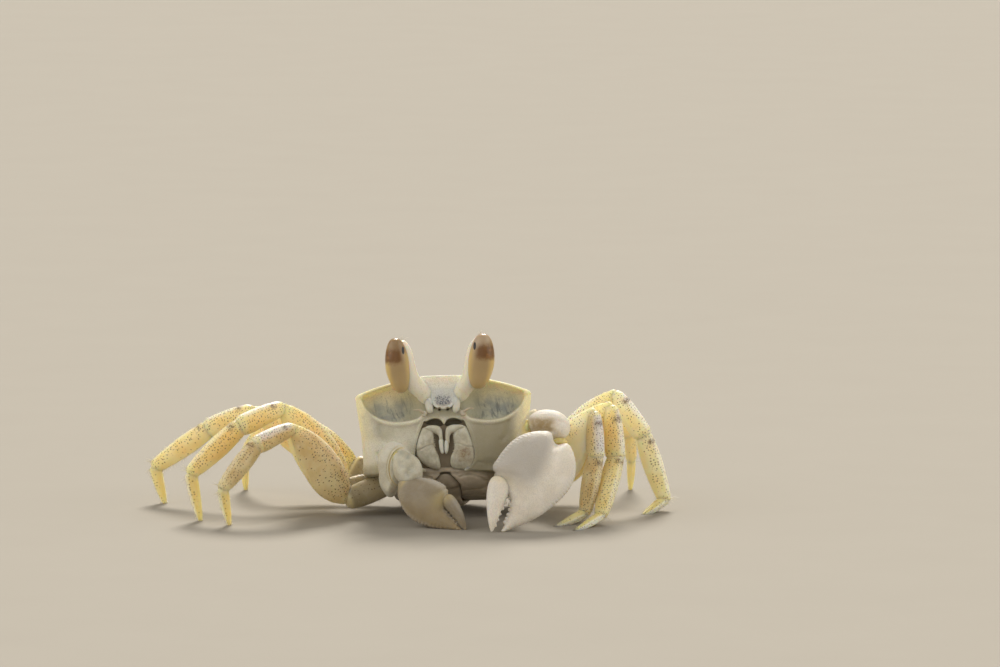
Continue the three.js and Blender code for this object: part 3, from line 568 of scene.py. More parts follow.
shell_mat = shell_look("shell_plate")
def plate_look(name):
    """mouth plates, breast and tail: chalky cream, browner in the creases, the underside darker with painted shade"""
    k = Look(name)
    at = k.attr("at", "Vector")
    palp, cap, stain = k.split(k.attr("mask_a", "Vector"))
    seam, underside_shade, dome = k.split(k.attr("mask_b", "Vector"))
    x, y, z = k.split(at)
    body = k.mix(k.step(k.noise(0.8, 4.0, 0.6, coord=at), 0.35, 0.68), (0.50, 0.465, 0.355), (0.66, 0.635, 0.525))
    # painted shade on the breast, the tail and the feeler bases, where light does not reach
    body = k.mix(k.math("MULTIPLY", underside_shade, 0.8), body, k.mix(k.step(k.noise(0.5, 4.0, 0.6, coord=at), 0.4, 0.65), (0.41, 0.335, 0.25), (0.52, 0.435, 0.335)))
    body = k.mix(k.math("MULTIPLY", dome, 0.55), body, (0.27, 0.215, 0.145))
    body = k.mix(k.math("MULTIPLY", cap, 0.35), body, (0.66, 0.67, 0.58))
    body = k.mix(k.math("MULTIPLY", palp, 0.9), body, (0.76, 0.76, 0.69))
    body = k.mix(k.math("MULTIPLY", seam, 0.3), body, (0.33, 0.28, 0.19))
    rust = k.math("MULTIPLY", stain, k.step(k.noise(1.9, 5.0, 0.75, 0.5, coord=at), 0.45, 0.62))
    body = k.mix(k.math("MULTIPLY", stain, 0.6), body, (0.40, 0.31, 0.18))
    body = k.mix(k.math("MULTIPLY", rust, 0.75), body, (0.24, 0.12, 0.06))
    d, c = k.cells(2.4, coord=at)
    r, g, b = k.split(c)
    pore = k.math("MULTIPLY", k.step(d, 0.15, 0.07), k.math("LESS_THAN", r, 0.25))
    body = k.mix(k.math("MULTIPLY", pore, 0.4), body, (0.30, 0.25, 0.18))
    fine, _ = k.cells(4.6, coord=at)
    height = k.math("ADD", k.math("MULTIPLY", k.step(fine, 0.6, 0.0), 0.3), k.math("MULTIPLY", k.noise(2.6, 4.0, 0.6, coord=at), 0.6))
    normal = k.bump(height, 0.45, 0.00014)
    rough = k.math("ADD", k.math("MULTIPLY", k.noise(1.4, 2.0, coord=at), 0.2), 0.36)
    return k.finish(body, rough, normal, sss=0.5, radius=(1.0, 0.72, 0.4), sss_scale=0.0012, spec=0.42)


def claw_look(name, pale, shade, tint):
    """hands: white and finely pebbled, a touch lavender in the shade, with painted shade on one facet and painted
    highlight along crests and tops
    """
    k = Look(name)
    at = k.attr("at", "Vector")
    tan, yellow, ridge = k.split(k.attr("mask_a", "Vector"))
    dimple, spots, side = k.split(k.attr("mask_b", "Vector"))
    body = k.mix(k.step(k.noise(0.3, 3.0, 0.5, coord=at), 0.38, 0.66), shade, pale)
    body = k.mix(k.math("MULTIPLY", k.step(k.noise(1.1, 4.0, 0.65, coord=at), 0.5, 0.68), 0.35), body, tint)
    # painted highlight: lighter along crests and tops, where the light from behind catches them
    body = k.mix(k.math("MULTIPLY", ridge, 0.5), body, (0.74, 0.715, 0.67))
    body = k.mix(k.math("MULTIPLY", tan, k.math("ADD", 0.62, k.math("MULTIPLY", k.step(k.noise(0.9, 4.0, 0.6, coord=at), 0.3, 0.6), 0.33))), body, (0.40, 0.285, 0.125))
    body = k.mix(k.math("MULTIPLY", k.math("MULTIPLY", dimple, k.math("ADD", 0.35, k.step(k.noise(1.0, 3.0, 0.6, coord=at), 0.35, 0.6))), 0.5), body, (0.38, 0.38, 0.31))
    body = k.mix(yellow, body, (0.72, 0.56, 0.20))
    d, c = k.cells(2.3, coord=at)
    r, g, b = k.split(c)
    dot = k.math("MULTIPLY", k.math("MULTIPLY", k.step(d, 0.17, 0.09), k.math("LESS_THAN", r, 0.4)), spots)
    body = k.mix(k.math("MULTIPLY", dot, 0.7), body, (0.13, 0.13, 0.14))
    fine, _ = k.cells(3.9, coord=at)
    tiny, _ = k.cells(8.5, coord=at)
    body = k.mix(k.math("MULTIPLY", k.step(fine, 0.35, 0.8), 0.16), body, (0.33, 0.31, 0.29))
    # painted shade on the facet turned from the light
    body = k.mix(k.math("MULTIPLY", side, 0.7), body, (0.42, 0.39, 0.35))
    height = k.math("ADD", k.math("MULTIPLY", k.step(fine, 0.55, 0.0), 0.7), k.math("MULTIPLY", k.step(tiny, 0.5, 0.0), 0.25))
    height = k.math("ADD", height, k.math("MULTIPLY", k.noise(1.2, 3.0, coord=at), 0.5))
    normal = k.bump(height, 0.5, 0.00015)
    rough = k.math("ADD", k.math("MULTIPLY", k.noise(1.5, 2.0, coord=at), 0.15), 0.38)
    return k.finish(body, rough, normal, sss=0.6, radius=(1.0, 0.8, 0.55), sss_scale=0.0014, spec=0.42)


def stalk_look(name):
    """eyestalks: clear cream, honey-yellow and dotted at the root"""
    k = Look(name)
    at = k.attr("at", "Vector")
    along, _, _ = k.split(k.attr("mask_a", "Vector"))
    body = k.mix(k.step(along, 0.34, 0.06), (0.83, 0.79, 0.66), (0.88, 0.83, 0.66))
    body = k.mix(k.math("MULTIPLY", k.step(k.noise(0.9, 3.0, coord=at), 0.45, 0.65), 0.4), body, (0.84, 0.82, 0.72))
    d, c = k.cells(3.3, coord=at)
    r, g, b = k.split(c)
    dot = k.math("MULTIPLY", k.math("MULTIPLY", k.step(d, 0.24, 0.12), k.math("LESS_THAN", r, 0.6)), k.step(along, 0.48, 0.3))
    body = k.mix(k.math("MULTIPLY", dot, 0.7), body, (0.22, 0.13, 0.06))
    normal = k.bump(k.noise(2.4, 3.0, coord=at), 0.35, 0.00015)
    return k.finish(body, 0.34, normal, sss=0.75, radius=(1.0, 0.72, 0.3), sss_scale=0.0022, spec=0.5)


def cornea_look(name):
    """eyes: glossy horn-brown, a dark girdle above the middle with painted amber highlight on its outer side, paler
    cap, black upright mark
    """
    k = Look(name)
    x, y, z = k.split(k.attr("eye", "Vector"))       # inner side +x, front -y, top +z, each -1..1 at the surface
    flow = k.noise(1.3, 4.0, 0.6, coord=k.attr("at", "Vector"))
    wob = k.math("MULTIPLY", k.math("SUBTRACT", flow, 0.5), 0.22)
    zz = k.math("ADD", z, wob)
    body = k.mix(k.step(zz, -0.95, 0.0), (0.52, 0.385, 0.19), (0.42, 0.30, 0.15))
    edge = k.math("MAXIMUM", k.math("MULTIPLY", x, -1.0), k.math("MULTIPLY", x, 0.86))
    body = k.mix(k.math("MULTIPLY", k.step(edge, 0.42, 0.93), 0.85), body, (0.70, 0.51, 0.19))
    girdle = k.math("MULTIPLY", k.step(zz, 0.02, 0.26), k.step(zz, 0.86, 0.52))
    girdle = k.math("MULTIPLY", girdle, k.step(x, 0.75, 0.2))
    body = k.mix(k.math("MULTIPLY", girdle, 0.9), body, (0.17, 0.07, 0.016))
    # painted highlight: amber glints in the girdle on its outer side
    amber_highlight = k.math("MULTIPLY", k.math("MULTIPLY", girdle, k.step(flow, 0.48, 0.66)), k.step(x, 0.1, -0.5))
    body = k.mix(k.math("MULTIPLY", amber_highlight, 0.6), body, (0.36, 0.17, 0.045))
    cap = k.step(k.math("ADD", zz, k.math("MULTIPLY", x, 0.22)), 0.52, 0.80)
    left = k.step(k.split(k.attr("at", "Vector"))[0], -2.0, 2.0)
    body = k.mix(k.math("MULTIPLY", cap, k.math("ADD", 0.7, k.math("MULTIPLY", left, 0.15))), body, k.mix(left, (0.27, 0.17, 0.085), (0.47, 0.36, 0.25)))
    ax = k.math("DIVIDE", k.math("SUBTRACT", x, 0.62), 0.11)
    az = k.math("DIVIDE", k.math("SUBTRACT", z, 0.56), 0.135)
    r2 = k.math("ADD", k.math("MULTIPLY", ax, ax), k.math("MULTIPLY", az, az))
    mark = k.math("MULTIPLY", k.step(r2, 1.25, 0.7), k.math("LESS_THAN", y, 0.0))
    body = k.mix(mark, body, (0.012, 0.008, 0.006))
    d, _ = k.cells(9.0, 0.25, coord=k.attr("at", "Vector"))
    normal = k.bump(k.step(d, 0.6, 0.1), 0.12, 0.00003)
    return k.finish(body, 0.30, normal, sss=0.4, radius=(1.0, 0.6, 0.25), sss_scale=0.0016, spec=0.3, coat=0.22, coat_rough=0.10)


def flesh_look(name, color, clear):
    """soft skin between the hard pieces"""
    k = Look(name)
    at = k.coord
    body = k.mix(k.step(k.noise(900, 3.0), 0.35, 0.7), color, clear)
    normal = k.bump(k.noise(2600, 3.0), 0.5, 0.00012)
    return k.finish(body, 0.3, normal, sss=0.8, radius=(1.0, 0.6, 0.2), sss_scale=0.002, spec=0.45)


def hair_look(name, color):
    k = Look(name)
    return k.finish(k.mix(k.step(k.noise(700, 2.0), 0.4, 0.6), color, tuple(min(1, c * 1.25) for c in color)), 0.35, sss=0.0, spec=0.4)


plate_mat = plate_look("plate_cream")
hand_mat = claw_look("hand_white", (0.92, 0.86, 0.76), (0.83, 0.765, 0.655), (0.78, 0.745, 0.69))
# painted shade: the smaller claw's copy of the hand finish, darker and warmer as if in shade
small_hand_shaded_mat = claw_look("hand_buff_painted_shade", (0.37, 0.31, 0.215), (0.30, 0.245, 0.16), (0.34, 0.295, 0.23))
arm_mat = claw_look("arm_cream", (0.70, 0.67, 0.55), (0.56, 0.52, 0.40), (0.72, 0.71, 0.63))
stalk_mat = stalk_look("eyestalk_cream")
cornea_mat = cornea_look("cornea_horn")
membrane_mat = flesh_look("joint_skin", (0.64, 0.50, 0.18), (0.78, 0.68, 0.34))
seta_mat = hair_look("seta_pale", (0.72, 0.66, 0.48))
# ------------------------------------------------------------------ walking legs
LEG_LENGTH = {
    "1": [10.4, 19.0, 8.7, 11.9, 8.9], "2": [9.2, 21.6, 10.2, 14.0, 10.6],
    "3": [8.5, 23.5, 10.1, 14.3, 8.4], "4": [10.3, 18.3, 6.8, 8.8, 7.6],
}
LEG_HEIGHT = {"1": 1.05, "2": 1.2, "3": 1.15, "4": 0.85}
LEG_POSE = {
    "R1": [[-10.7, -7.4, 6.9], [-17.7, -19.0], [-21.1, 52.7], [-28.4, -17.7], [-39.2, -42.6], [117.9]],
    "R2": [[-11.7, -3.1, 5.6], [-13.8, -5.7], [-14.4, 53.4], [-29.6, -16.4], [-15.7, -41.4], [164.3]],
    "R3": [[-11.7, 1.5, 4.7], [15.7, 30.0], [4.5, 27.1], [13.0, -22.1], [11.7, -35.4], [-159.4]],
    "R4": [[-10.3, 6.3, 4.7], [17.0, 6.8], [20.8, 28.2], [43.0, -22.2], [69.5, -37.1], [96.1]],
    "L1": [[11.3, -7.2, 7.5], [-16.4, -6.5], [-30.8, 56.3], [-25.6, -85.1], [-136.8, -75.5], [-138.5]],
    "L2": [[12.3, -2.9, 6.2], [-14.4, 1.4], [-26.6, 49.2], [-35.7, -81.6], [-109.9, -50.7], [-123.9]],
    "L3": [[12.3, 1.7, 5.4], [14.8, 1.9], [-15.8, 50.6], [-11.0, -52.9], [-0.9, -71.6], [-129.1]],
    "L4": [[10.7, 6.5, 5.3], [18.6, 8.9], [26.5, 32.5], [45.2, -28.7], [83.9, -49.0], [94.5]],
}
TOE_HEIGHT = -0.5
PIECE = {
    "hip": dict(top=[[0, 2.2], [0.5, 2.4], [1, 2.2]], bottom=[[0, -2.2], [0.5, -2.5], [1, -2.3]], half=[[0, 1.95], [1, 1.85]], ends=[-0.6, 0.4], blunt=4, section=2.0),
    "thigh": dict(top=[[0, 1.9], [0.25, 3.5], [0.5, 3.9], [0.8, 3.25], [1, 2.0]], bottom=[[0, -2.0], [0.2, -3.6], [0.45, -3.8], [0.8, -2.5], [1, -1.6]], half=[[0, 1.5], [0.4, 1.95], [1, 1.55]], ends=[-0.4, 1.05], blunt=4, far=2.6, section=1.9),
    "wrist": dict(top=[[0, 1.7], [0.35, 2.0], [0.8, 2.0], [1, 1.85]], bottom=[[0, -1.2], [0.4, -1.5], [0.8, -1.9], [1, -1.75]], half=[[0, 1.35], [0.5, 1.6], [1, 1.45]], ends=[-0.5, 0.7], blunt=4, far=9, section=2.1),
    "shin": dict(top=[[0, 1.7], [0.4, 1.9], [0.8, 1.6], [1, 1.25]], bottom=[[0, -1.62], [0.4, -1.9], [0.8, -1.6], [1, -1.25]], half=[[0, 1.28], [0.5, 1.35], [1, 1.1]], ends=[-0.5, 0.5], blunt=6, far=8, section=2.2),
    "toe": dict(top=[[0, 1.2], [0.4, 1.05], [0.8, 0.65], [1, 0.42]], bottom=[[0, -1.2], [0.4, -0.9], [0.8, -0.6], [1, -0.42]], half=[[0, 1.0], [0.5, 0.8], [1, 0.42]], ends=[-0.4, 0], blunt=4, section=2.2),
}
NAMES = ["hip", "thigh", "wrist", "shin", "toe"]
DETAIL = {"hip": (40, 36), "thigh": (64, 96), "wrist": (48, 60), "shin": (48, 72), "toe": (36, 56)}


def leg_frames(leg):
    side = 1 if leg[0] == "L" else -1
    lengths = LEG_LENGTH[leg[1]]
    hip, *angles = LEG_POSE[leg]
    joint, dorsal, previous, out = np.array(hip, float), np.array([0, 0, 1.0]), None, []
    for i, angle in enumerate(angles):
        az = math.radians(angle[0])
        el = -math.asin((joint[2] - TOE_HEIGHT) / lengths[i]) if i == 4 else math.radians(angle[1])
        along = np.array([side * math.cos(el) * math.cos(az), math.cos(el) * math.sin(az), math.sin(el)])
        dorsal = turn(dorsal, previous, along) if previous is not None else unit(dorsal - along * np.dot(dorsal, along))
        previous = along
        out.append((NAMES[i], limb_frame(joint, along, dorsal), lengths[i]))
        joint = joint + along * lengths[i]
    return out


def limb_points(name, length, scale, U, V):
    s = PIECE[name]
    t = 0.5 - 0.5 * np.cos(np.pi * V)
    x = s["ends"][0] + (length + s["ends"][1] - s["ends"][0]) * t
    q = np.clip(x / length, 0, 1)
    up, down, wide = profile(s["top"])(q) * scale, profile(s["bottom"])(q) * scale, profile(s["half"])(q)
    e = np.where(t < 0.5, round_end(t, s["blunt"]), round_end(t, s.get("far", s["blunt"])))
    a = 2 * np.pi * U
    ca, sa = np.cos(a), np.sin(a)
    p = 2.0 / s["section"]
    ca2, sa2 = np.sign(ca) * np.abs(ca) ** p, np.sign(sa) * np.abs(sa) ** p
    mid, hh = (up + down) / 2, (up - down) / 2
    r = np.ones_like(x)
    r = r * (1 + (0.05 if name != "toe" else 0.0) * np.exp(-((q - 0.955) / 0.022) ** 2) - (0.04 if name != "toe" else 0.0) * np.exp(-((q - 1.0) / 0.02) ** 2))   # lip round the far joint
    if name != "hip":                              # knuckles either side of the near joint
        r = r * (1 + 0.05 * np.exp(-((q - 0.07) / 0.04) ** 2))
    if name in ("shin", "toe"):                    # shallow flutes between low ribs
        r = r * (1 + (0.035 if name == "shin" else 0.06) * np.cos(6 * a) * smoothstep(0.05, 0.25, q) * smoothstep(1.0, 0.8, q))
    if name == "thigh":                            # flat faces, and a finely notched back edge
        r = r * (1 - 0.05 * np.exp(-(np.abs(ca) - 0.75) ** 2 / 0.03))
    notch = 1 + 0.012 * np.sin(x * 9.0) * np.exp(-((sa - 1) ** 2) / 0.02) * smoothstep(0.05, 0.2, q) * smoothstep(1.0, 0.9, q)
    local = np.stack([x, e * wide * r * ca2, mid + e * hh * r * notch * sa2], 1)
    mean = 0.5 * (float(np.mean(hh)) + float(np.mean(wide)))
    # millimetres round the piece, counted both ways from the back edge so the two ends meet underneath
    round_ = (np.mod(a - np.pi / 2 + np.pi, 2 * np.pi) - np.pi) * mean
    return local, np.stack([q, sa * e, ca * e], 1), np.stack([x, round_, np.zeros_like(x)], 1)


# front and hip are darker copies painted with shade, bright is a lighter copy painted as if sunlit; the third colour of
# each is its painted edge highlight
leg_mats = {
    "front": leg_look("leg_front_painted_shade", (0.72, 0.55, 0.25), (0.83, 0.72, 0.42), (0.92, 0.90, 0.83), 1.05, 0.06),
    "warm": leg_look("leg_warm", (0.92, 0.72, 0.30), (0.95, 0.81, 0.46), (0.91, 0.89, 0.86), 0.95, 0.0),
    "bright": leg_look("leg_bright_painted_sunlit", (0.98, 0.84, 0.54), (0.99, 0.91, 0.70), (0.98, 0.96, 0.93), 0.75, 0.0),
    "toe": leg_look("leg_toe", (0.84, 0.68, 0.30), (0.90, 0.78, 0.44), (0.92, 0.87, 0.70), 0.46, 0.0),
    "hip": leg_look("leg_hip_painted_shade", (0.32, 0.26, 0.145), (0.44, 0.37, 0.225), (0.50, 0.44, 0.29), 0.28, 0.30),
}
root_pieces = []


def keep(ob, mat, slot, *nodes):
    ob.data.materials.clear(); ob.data.materials.append(mat)
    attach(ob, "root")
    if nodes:
        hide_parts(*nodes)
    root_pieces.append(ob)
    return ob


def leg_surface(name, fr, length, scale, U, V):
    """points on a leg piece, with the outward direction there"""
    p = limb_points(name, length, scale, np.asarray(U, float), np.asarray(V, float))[0]
    a = 2 * np.pi * np.asarray(U, float)
    n = np.stack([np.zeros_like(a), np.cos(a), np.sin(a)], 1)
    return to_world(fr, p), n @ fr[1].T


leg_layout = {}
for number, leg in enumerate(LEG_POSE):
    scale = LEG_HEIGHT[leg[1]]
    leg_layout[leg] = leg_frames(leg)
    for piece_number, (name, fr, length) in enumerate(leg_layout[leg]):
        nu, nv = DETAIL[name]
        info = []

        def fn(U, V):
            local, tag, skin = limb_points(name, length, scale, U, V)
            info.append((tag, skin))
            w = to_world(fr, local)
            if name == "toe":
                w[:, 2] = np.maximum(w[:, 2], 0.0)
            return w
        v, q, t, _, _ = loft(nu, nv, fn)
        tags = np.vstack([i[0] for i in info])
        skins = np.vstack([i[1] for i in info]) + np.array([31.0 * number + 7.3 * piece_number, 11.0 * number, 0])
        n = len(v)
        # how heavily each piece takes the painted shade: hips and front legs, the R1 shin most
        painted_shade_weight = 4.5 if (leg, name) == ("R1", "shin") else 1.0 if (name == "hip" or leg in ("R1", "L1")) else 0.0
        spot = {"wrist": (0.24, 0.065), "shin": (0.12, 0.045)}.get(name)      # dark star on the back edge
        patch = np.exp(-((tags[:, 0] - spot[0]) / spot[1]) ** 2) if spot else np.zeros(n)
        # bloom below zero weakens the painted edge highlight; above zero it lays a pale band on the back
        bloom = 1.0 if name == "wrist" and leg in ("R1", "L1") else {"wrist": -0.3, "shin": -0.9, "thigh": -0.5}.get(name, 0.0)
        joint = np.stack([patch, np.full(n, painted_shade_weight), np.full(n, bloom)], 1)
        ob = build_mesh(f"leg_{leg}_{name}_shell", v, q, t, {"leg": tags, "skin": skins, "joint": joint})
        # pieces given the lighter copy, painted as if sunlit
        painted_sunlit = (leg, name) == ("L1", "thigh") or (leg == "L3" and name != "hip")
        look = "hip" if name == "hip" else "bright" if painted_sunlit and name != "toe" else "toe" if name == "toe" else "front" if leg in ("R1", "L1") else "warm"
        keep(ob, leg_mats[look], "leg", f"leg_{leg}_{name}")

# ------------------------------------------------------------------ body frame
PITCH, ROLL, HEIGHT = math.radians(15), math.radians(1.6), 15.2
RX = np.array([[1, 0, 0], [0, math.cos(-PITCH), -math.sin(-PITCH)], [0, math.sin(-PITCH), math.cos(-PITCH)]])
RY = np.array([[math.cos(-ROLL), 0, math.sin(-ROLL)], [0, 1, 0], [-math.sin(-ROLL), 0, math.cos(-ROLL)]])
BODY = (np.array([0, 0, HEIGHT]), RX @ RY)

RIM = [[0, -15.4], [5.2, -15.4], [11, -14.7], [16.2, -13.7], [17.65, -12.5], [17.7, -8.5], [17.2, -1], [15.6, 6], [12.6, 11.6], [8.2, 14.8], [0, 15.5]]
EDGE = [[0, -13], [5, -12.9], [10, -12.3], [14.8, -11.1], [16.6, -9], [16.6, -6], [15.9, 0], [13.9, 5.5], [11, 10], [7, 12.6], [0, 13.4]]
BREAST = [[0, -12.4], [3.4, -12.3], [6.8, -11.4], [9.2, -9.2], [10.3, -5.5], [10.7, -1], [10.3, 3.6], [9.2, 8], [7.8, 10.8], [5.4, 12.5], [2.8, 13.1], [0, 13.2]]


def back_height(x, y):
    across, r = (x / 18) ** 2, np.maximum(0, (y + 6) / 21.5)
    return 10.5 - 3.3 * across * (1 - 0.45 * r) + 0.9 * (1 - across) * (1 - ((y + 1) / 15) ** 2) - 3.5 * r * r


def front_height(x):
    return back_height(x, -14.5)


front_rim = profile([[0, -15.4], [5.2, -15.4], [11, -14.75], [16.4, -13.7], [18, -12.6], [19, -11.5]])
front_edge = profile([[0, -13], [5, -12.9], [10, -12.3], [14.6, -11.1], [16.2, -9.2], [17.5, -7.5]])


def face_y(x, z):
    """where the front of the shell lies"""
    x = np.abs(x)
    top = front_height(x) - 0.55
    s = np.clip((top - z) / (top + 8.7), 0, 1)
    return (1 - s) * front_rim(x) + s * front_edge(x) - 0.5 * np.sin(np.pi * s)


orbit_low = profile([[2.9, 3.9], [3.6, 3.0], [4.4, 2.35], [5.2, 1.75], [6.5, 1.4], [8, 1.2], [9.5, 1.15], [11.2, 1.35], [12.8, 1.85], [14.2, 2.7], [15.2, 3.65], [15.9, 4.6], [16.4, 5.6], [16.8, 6.6]])
FRAME_LINE = [[3.7, 2.2], [4.35, 1.5], [4.95, 0.1], [5.6, -1.7], [6.1, -3.5], [6.35, -4.9], [6.3, -6.3], [5.7, -7.6], [4.2, -8.6]]
OPENING = [[3.75, 1.15], [3.05, 1.66], [1.9, 1.92], [0.85, 1.7], [0.2, 1.0], [0.45, 0.55], [1.9, 0.62]]
TONGUE = [[5.0, 10.2], [4.75, 9.8], [4.0, 8.57], [3.1, 7.45], [2.5, 6.75], [2.35, 5.6], [1.85, 4.6], [1.2, 4.05], [0, 3.78]]
FACE_CORNER = [[17.0, 5.6], [16.3, 3.6], [15.5, 0.0], [14.8, -3.5], [14.3, -7.0], [14.0, -9.0]]


def shell_field(axes):
    x, y, z = open_grid(axes)
    ax = np.abs(x)
    rim = outline_distance(mirrored(RIM), x[:, :, 0], y[:, :, 0])[:, :, None]
    edge = outline_distance(mirrored(EDGE), x[:, :, 0], y[:, :, 0])[:, :, None]
    # relief of the back: H-shaped furrow, gill swellings, faint cross furrow
    px, py = x[:, :, 0], y[:, :, 0]
    furrow = line_distance(smooth_open([[3.2, -3.5], [3.9, -1.0], [3.3, 1.6], [4.3, 4.6], [3.9, 7.6]]), np.abs(px), py)
    cross = line_distance(smooth_open([[0, 1.2], [1.8, 1.5], [3.3, 1.6]]), np.abs(px), py)
    neck = line_distance(smooth_open([[3.9, -1.0], [7.0, -3.2], [10.5, -5.0], [13.5, -8.5]]), np.abs(px), py)
    relief = (-0.62 * np.exp(-(furrow / 0.7) ** 2) - 0.4 * np.exp(-(cross / 0.5) ** 2) - 0.36 * np.exp(-(neck / 0.8) ** 2)
              + 0.5 * np.exp(-((np.abs(px) - 9.8) / 4.2) ** 2 - ((py - 4) / 6.5) ** 2)
              + 0.42 * np.exp(-(px / 2.4) ** 2 - ((py - 5.0) / 2.8) ** 2)
              + 0.36 * np.exp(-((np.abs(px) - 5.2) / 3.0) ** 2 - ((py + 7.5) / 3.2) ** 2))
    top = (back_height(px, py) + relief * smoothstep(0, -2.5, rim[:, :, 0]))[:, :, None]
    s = np.clip((top - 0.55 - z) / (top + 8.15), 0, 1)
    behind, aft = smoothstep(-11.0, -3.0, y), smoothstep(-3.0, 6.0, y)       # rounder towards the back
    bulge = 0.5 - 0.75 * smoothstep(-12.4, -9.5, y) + 1.25 * aft
    wall = (1 - s) * rim + s * edge - bulge * np.sin(np.pi * s)
    F = smax(wall, (z - top) * 0.97, 0.45 + 1.75 * behind)
    F = smax(F, -8.75 - z, 0.7 + 1.5 * aft)

    xz, zz = x[:, 0, :], z[0]                      # (nx, 1), (1, nz)
    axz = np.abs(xz)
    face = face_y(axz, zz)[:, None, :]
    crest = front_height(axz)
    # cheeks: a low swelling beside the mouth, a soft vertical furrow and the corner crest
    cheek = 0.35 * np.exp(-((axz - 9.3) / 3.2) ** 2 - ((zz + 2.6) / 3.4) ** 2)
    dent = line_distance(smooth_open([[13.1, 0.9], [13.0, -0.6], [12.6, -1.8], [11.7, -2.7]]), axz, zz)
    corner = line_distance(smooth_open(FACE_CORNER), axz, zz)
    seam = line_distance(smooth_open([[6.9, -7.1], [8.8, -7.35], [10.6, -7.1], [12.6, -6.2], [13.8, -4.6]]), axz, zz)
    skin = (cheek - 0.2 * np.exp(-(dent / 0.55) ** 2) + 0.2 * np.exp(-(corner / 1.3) ** 2) - 0.3 * np.exp(-(seam / 0.28) ** 2))[:, None, :]
    near = smoothstep(4.5, 1.5, np.abs(y - face))
    F = F - skin * near
    # eye sockets
    mu, ml = (crest - 0.62 - zz), (zz - orbit_low(axz))
    mi, mo = axz - 3.2, 16.6 - axz + 0.22 * (zz - 5)
    sat = lambda m, l: m / (np.abs(m) + l)
    hollow = smin(smin(sat(mu, 0.16), sat(ml, 1.9), 0.2), smin(sat(mo, 1.9), sat(mi, 0.8), 0.2), 0.2)
    depth = (4.3 * hollow + 0.35 * np.sin(axz * 0.9 + 1.0) * np.maximum(hollow, 0))[:, None, :]
    F = smax(F, np.broadcast_to((face + depth - 0.15) - y, F.shape), 0.12)
    # ridges: socket's lower edge, brow, back margin, hind margin
    sx = axes[0][:, None]
    slope = np.gradient(orbit_low(np.abs(sx))[:, 0], axes[0])[:, None, None]
    bead = 1 + 0.09 * np.sin(2 * np.pi * ax / 0.62)
    r = 0.34 * smoothstep(3.0, 4.6, ax) * smoothstep(15.8, 13.6, ax) * bead
    low = orbit_low(ax)
    tube = np.sqrt((z - low + 0.1) ** 2 / (1 + slope**2) + (y - face_y(ax, low) - 0.10) ** 2) - r
    F = np.where(r > 0.02, smin(F, tube, 0.6), F)
    r = 0.24 * smoothstep(4.0, 5.0, ax) * smoothstep(17.6, 16.2, ax) * (1 + 0.14 * np.sin(2 * np.pi * ax / 0.5))
    crest3 = front_height(ax)
    tube = np.sqrt((z - crest3 + 0.36) ** 2 + (y - front_rim(ax) - 0.02) ** 2) - r
    F = np.where(r > 0.02, smin(F, tube, 0.18), F)
    r = (0.25 + 0.06 * np.sin(2 * np.pi * y / 0.55)) * smoothstep(-14.5, -12.5, y) * smoothstep(5.5, 0.5, y) * (ax > 9)
    drop = 0.30 + 0.42 * behind
    tube = np.hypot(rim + drop - 0.18, z - top + drop) - r
    F = np.where(r > 0.02, smin(F, tube, 0.25), F)
    r = (0.3 + 0.04 * np.sin(2 * np.pi * x / 0.5)) * smoothstep(10.5, 13.0, y)
    tube = np.hypot(rim + 0.62, z - top + 0.66) - r
    F = np.where(r > 0.02, smin(F, tube, 0.25), F)
    # outer corner tooth
    tooth = np.sqrt(((ax - 16.7) / 0.75) ** 2 + ((y + 12.6 + 0.4 * (ax - 16.7)) / 1.2) ** 2 + ((z - 6.9) / 0.5) ** 2) - 1
    F = smin(F, tooth * 0.6, 0.5)
    # antennule hollow, mouth field, breathing gaps
    pit = outline_distance(mirrored([[0, 8.2], [2.4, 8.2], [3.6, 6.6], [4.2, 4.6], [3.9, 2.7], [2.3, 2.25], [0, 2.2]], 6), xz, zz)[:, None, :]
    F = smax(F, -smax(pit * 0.9, y - (face + 1.15), 0.25), 0.2)
    field = outline_distance(mirrored([[0, 1.35]] + [[3.4, 1.3]] + FRAME_LINE[1:] + [[2.0, -9.3], [0, -9.4]], 6), xz, zz)[:, None, :]
    F = smax(F, -smax(field, y - (face + 1.35), 0.15), 0.12)
    frame_edge = line_distance(smooth_open(FRAME_LINE), axz, zz)[:, None, :]
    F = smin(F, np.sqrt((frame_edge - 0.12) ** 2 + (y - face + 0.02) ** 2) - 0.2, 0.2)
    gap = outline_distance(smooth_closed(OPENING, 6), axz, zz)[:, None, :]
    F = smax(F, -smax(gap, y - (face + 2.2), 0.3), 0.15)
    # plate over the breathing gaps, drawn down to a point in the middle
    lip = outline_distance(mirrored([[0, 3.95], [2.4, 3.95], [3.6, 3.5], [4.0, 2.7], [3.95, 2.1], [3.2, 1.75], [1.9, 2.0], [0.75, 1.75], [0, 0.7]], 5), xz, zz)[:, None, :]
    F = smin(F, smax(lip, np.abs(y - face - 0.35) - 0.42, 0.15), 0.15)
    hole = np.sqrt((ax - 0.82) ** 2 + (z - 3.72) ** 2)
    F = smax(F, -smax(hole - 0.26, y - (face + 1.5), 0.1), 0.08)
    # tongue-shaped front lobe between the eyestalks
    out2 = outline_distance(mirrored([[0, 10.6], [4.4, 10.5]] + TONGUE[:-1] + [[0, 3.78]], 6), xz, zz)[:, None, :]
    centre = -14.95 - 0.115 * (10 - z)
    slab = smax(out2, np.abs(y - centre) - 0.5, 0.3)
    rim2 = np.sqrt(out2**2 + (y - centre + 0.38) ** 2) - 0.27 * smoothstep(10.2, 8.8, z)
    slab = smin(slab, rim2, 0.22)
    F = smin(F, np.broadcast_to(slab, F.shape), 0.25)
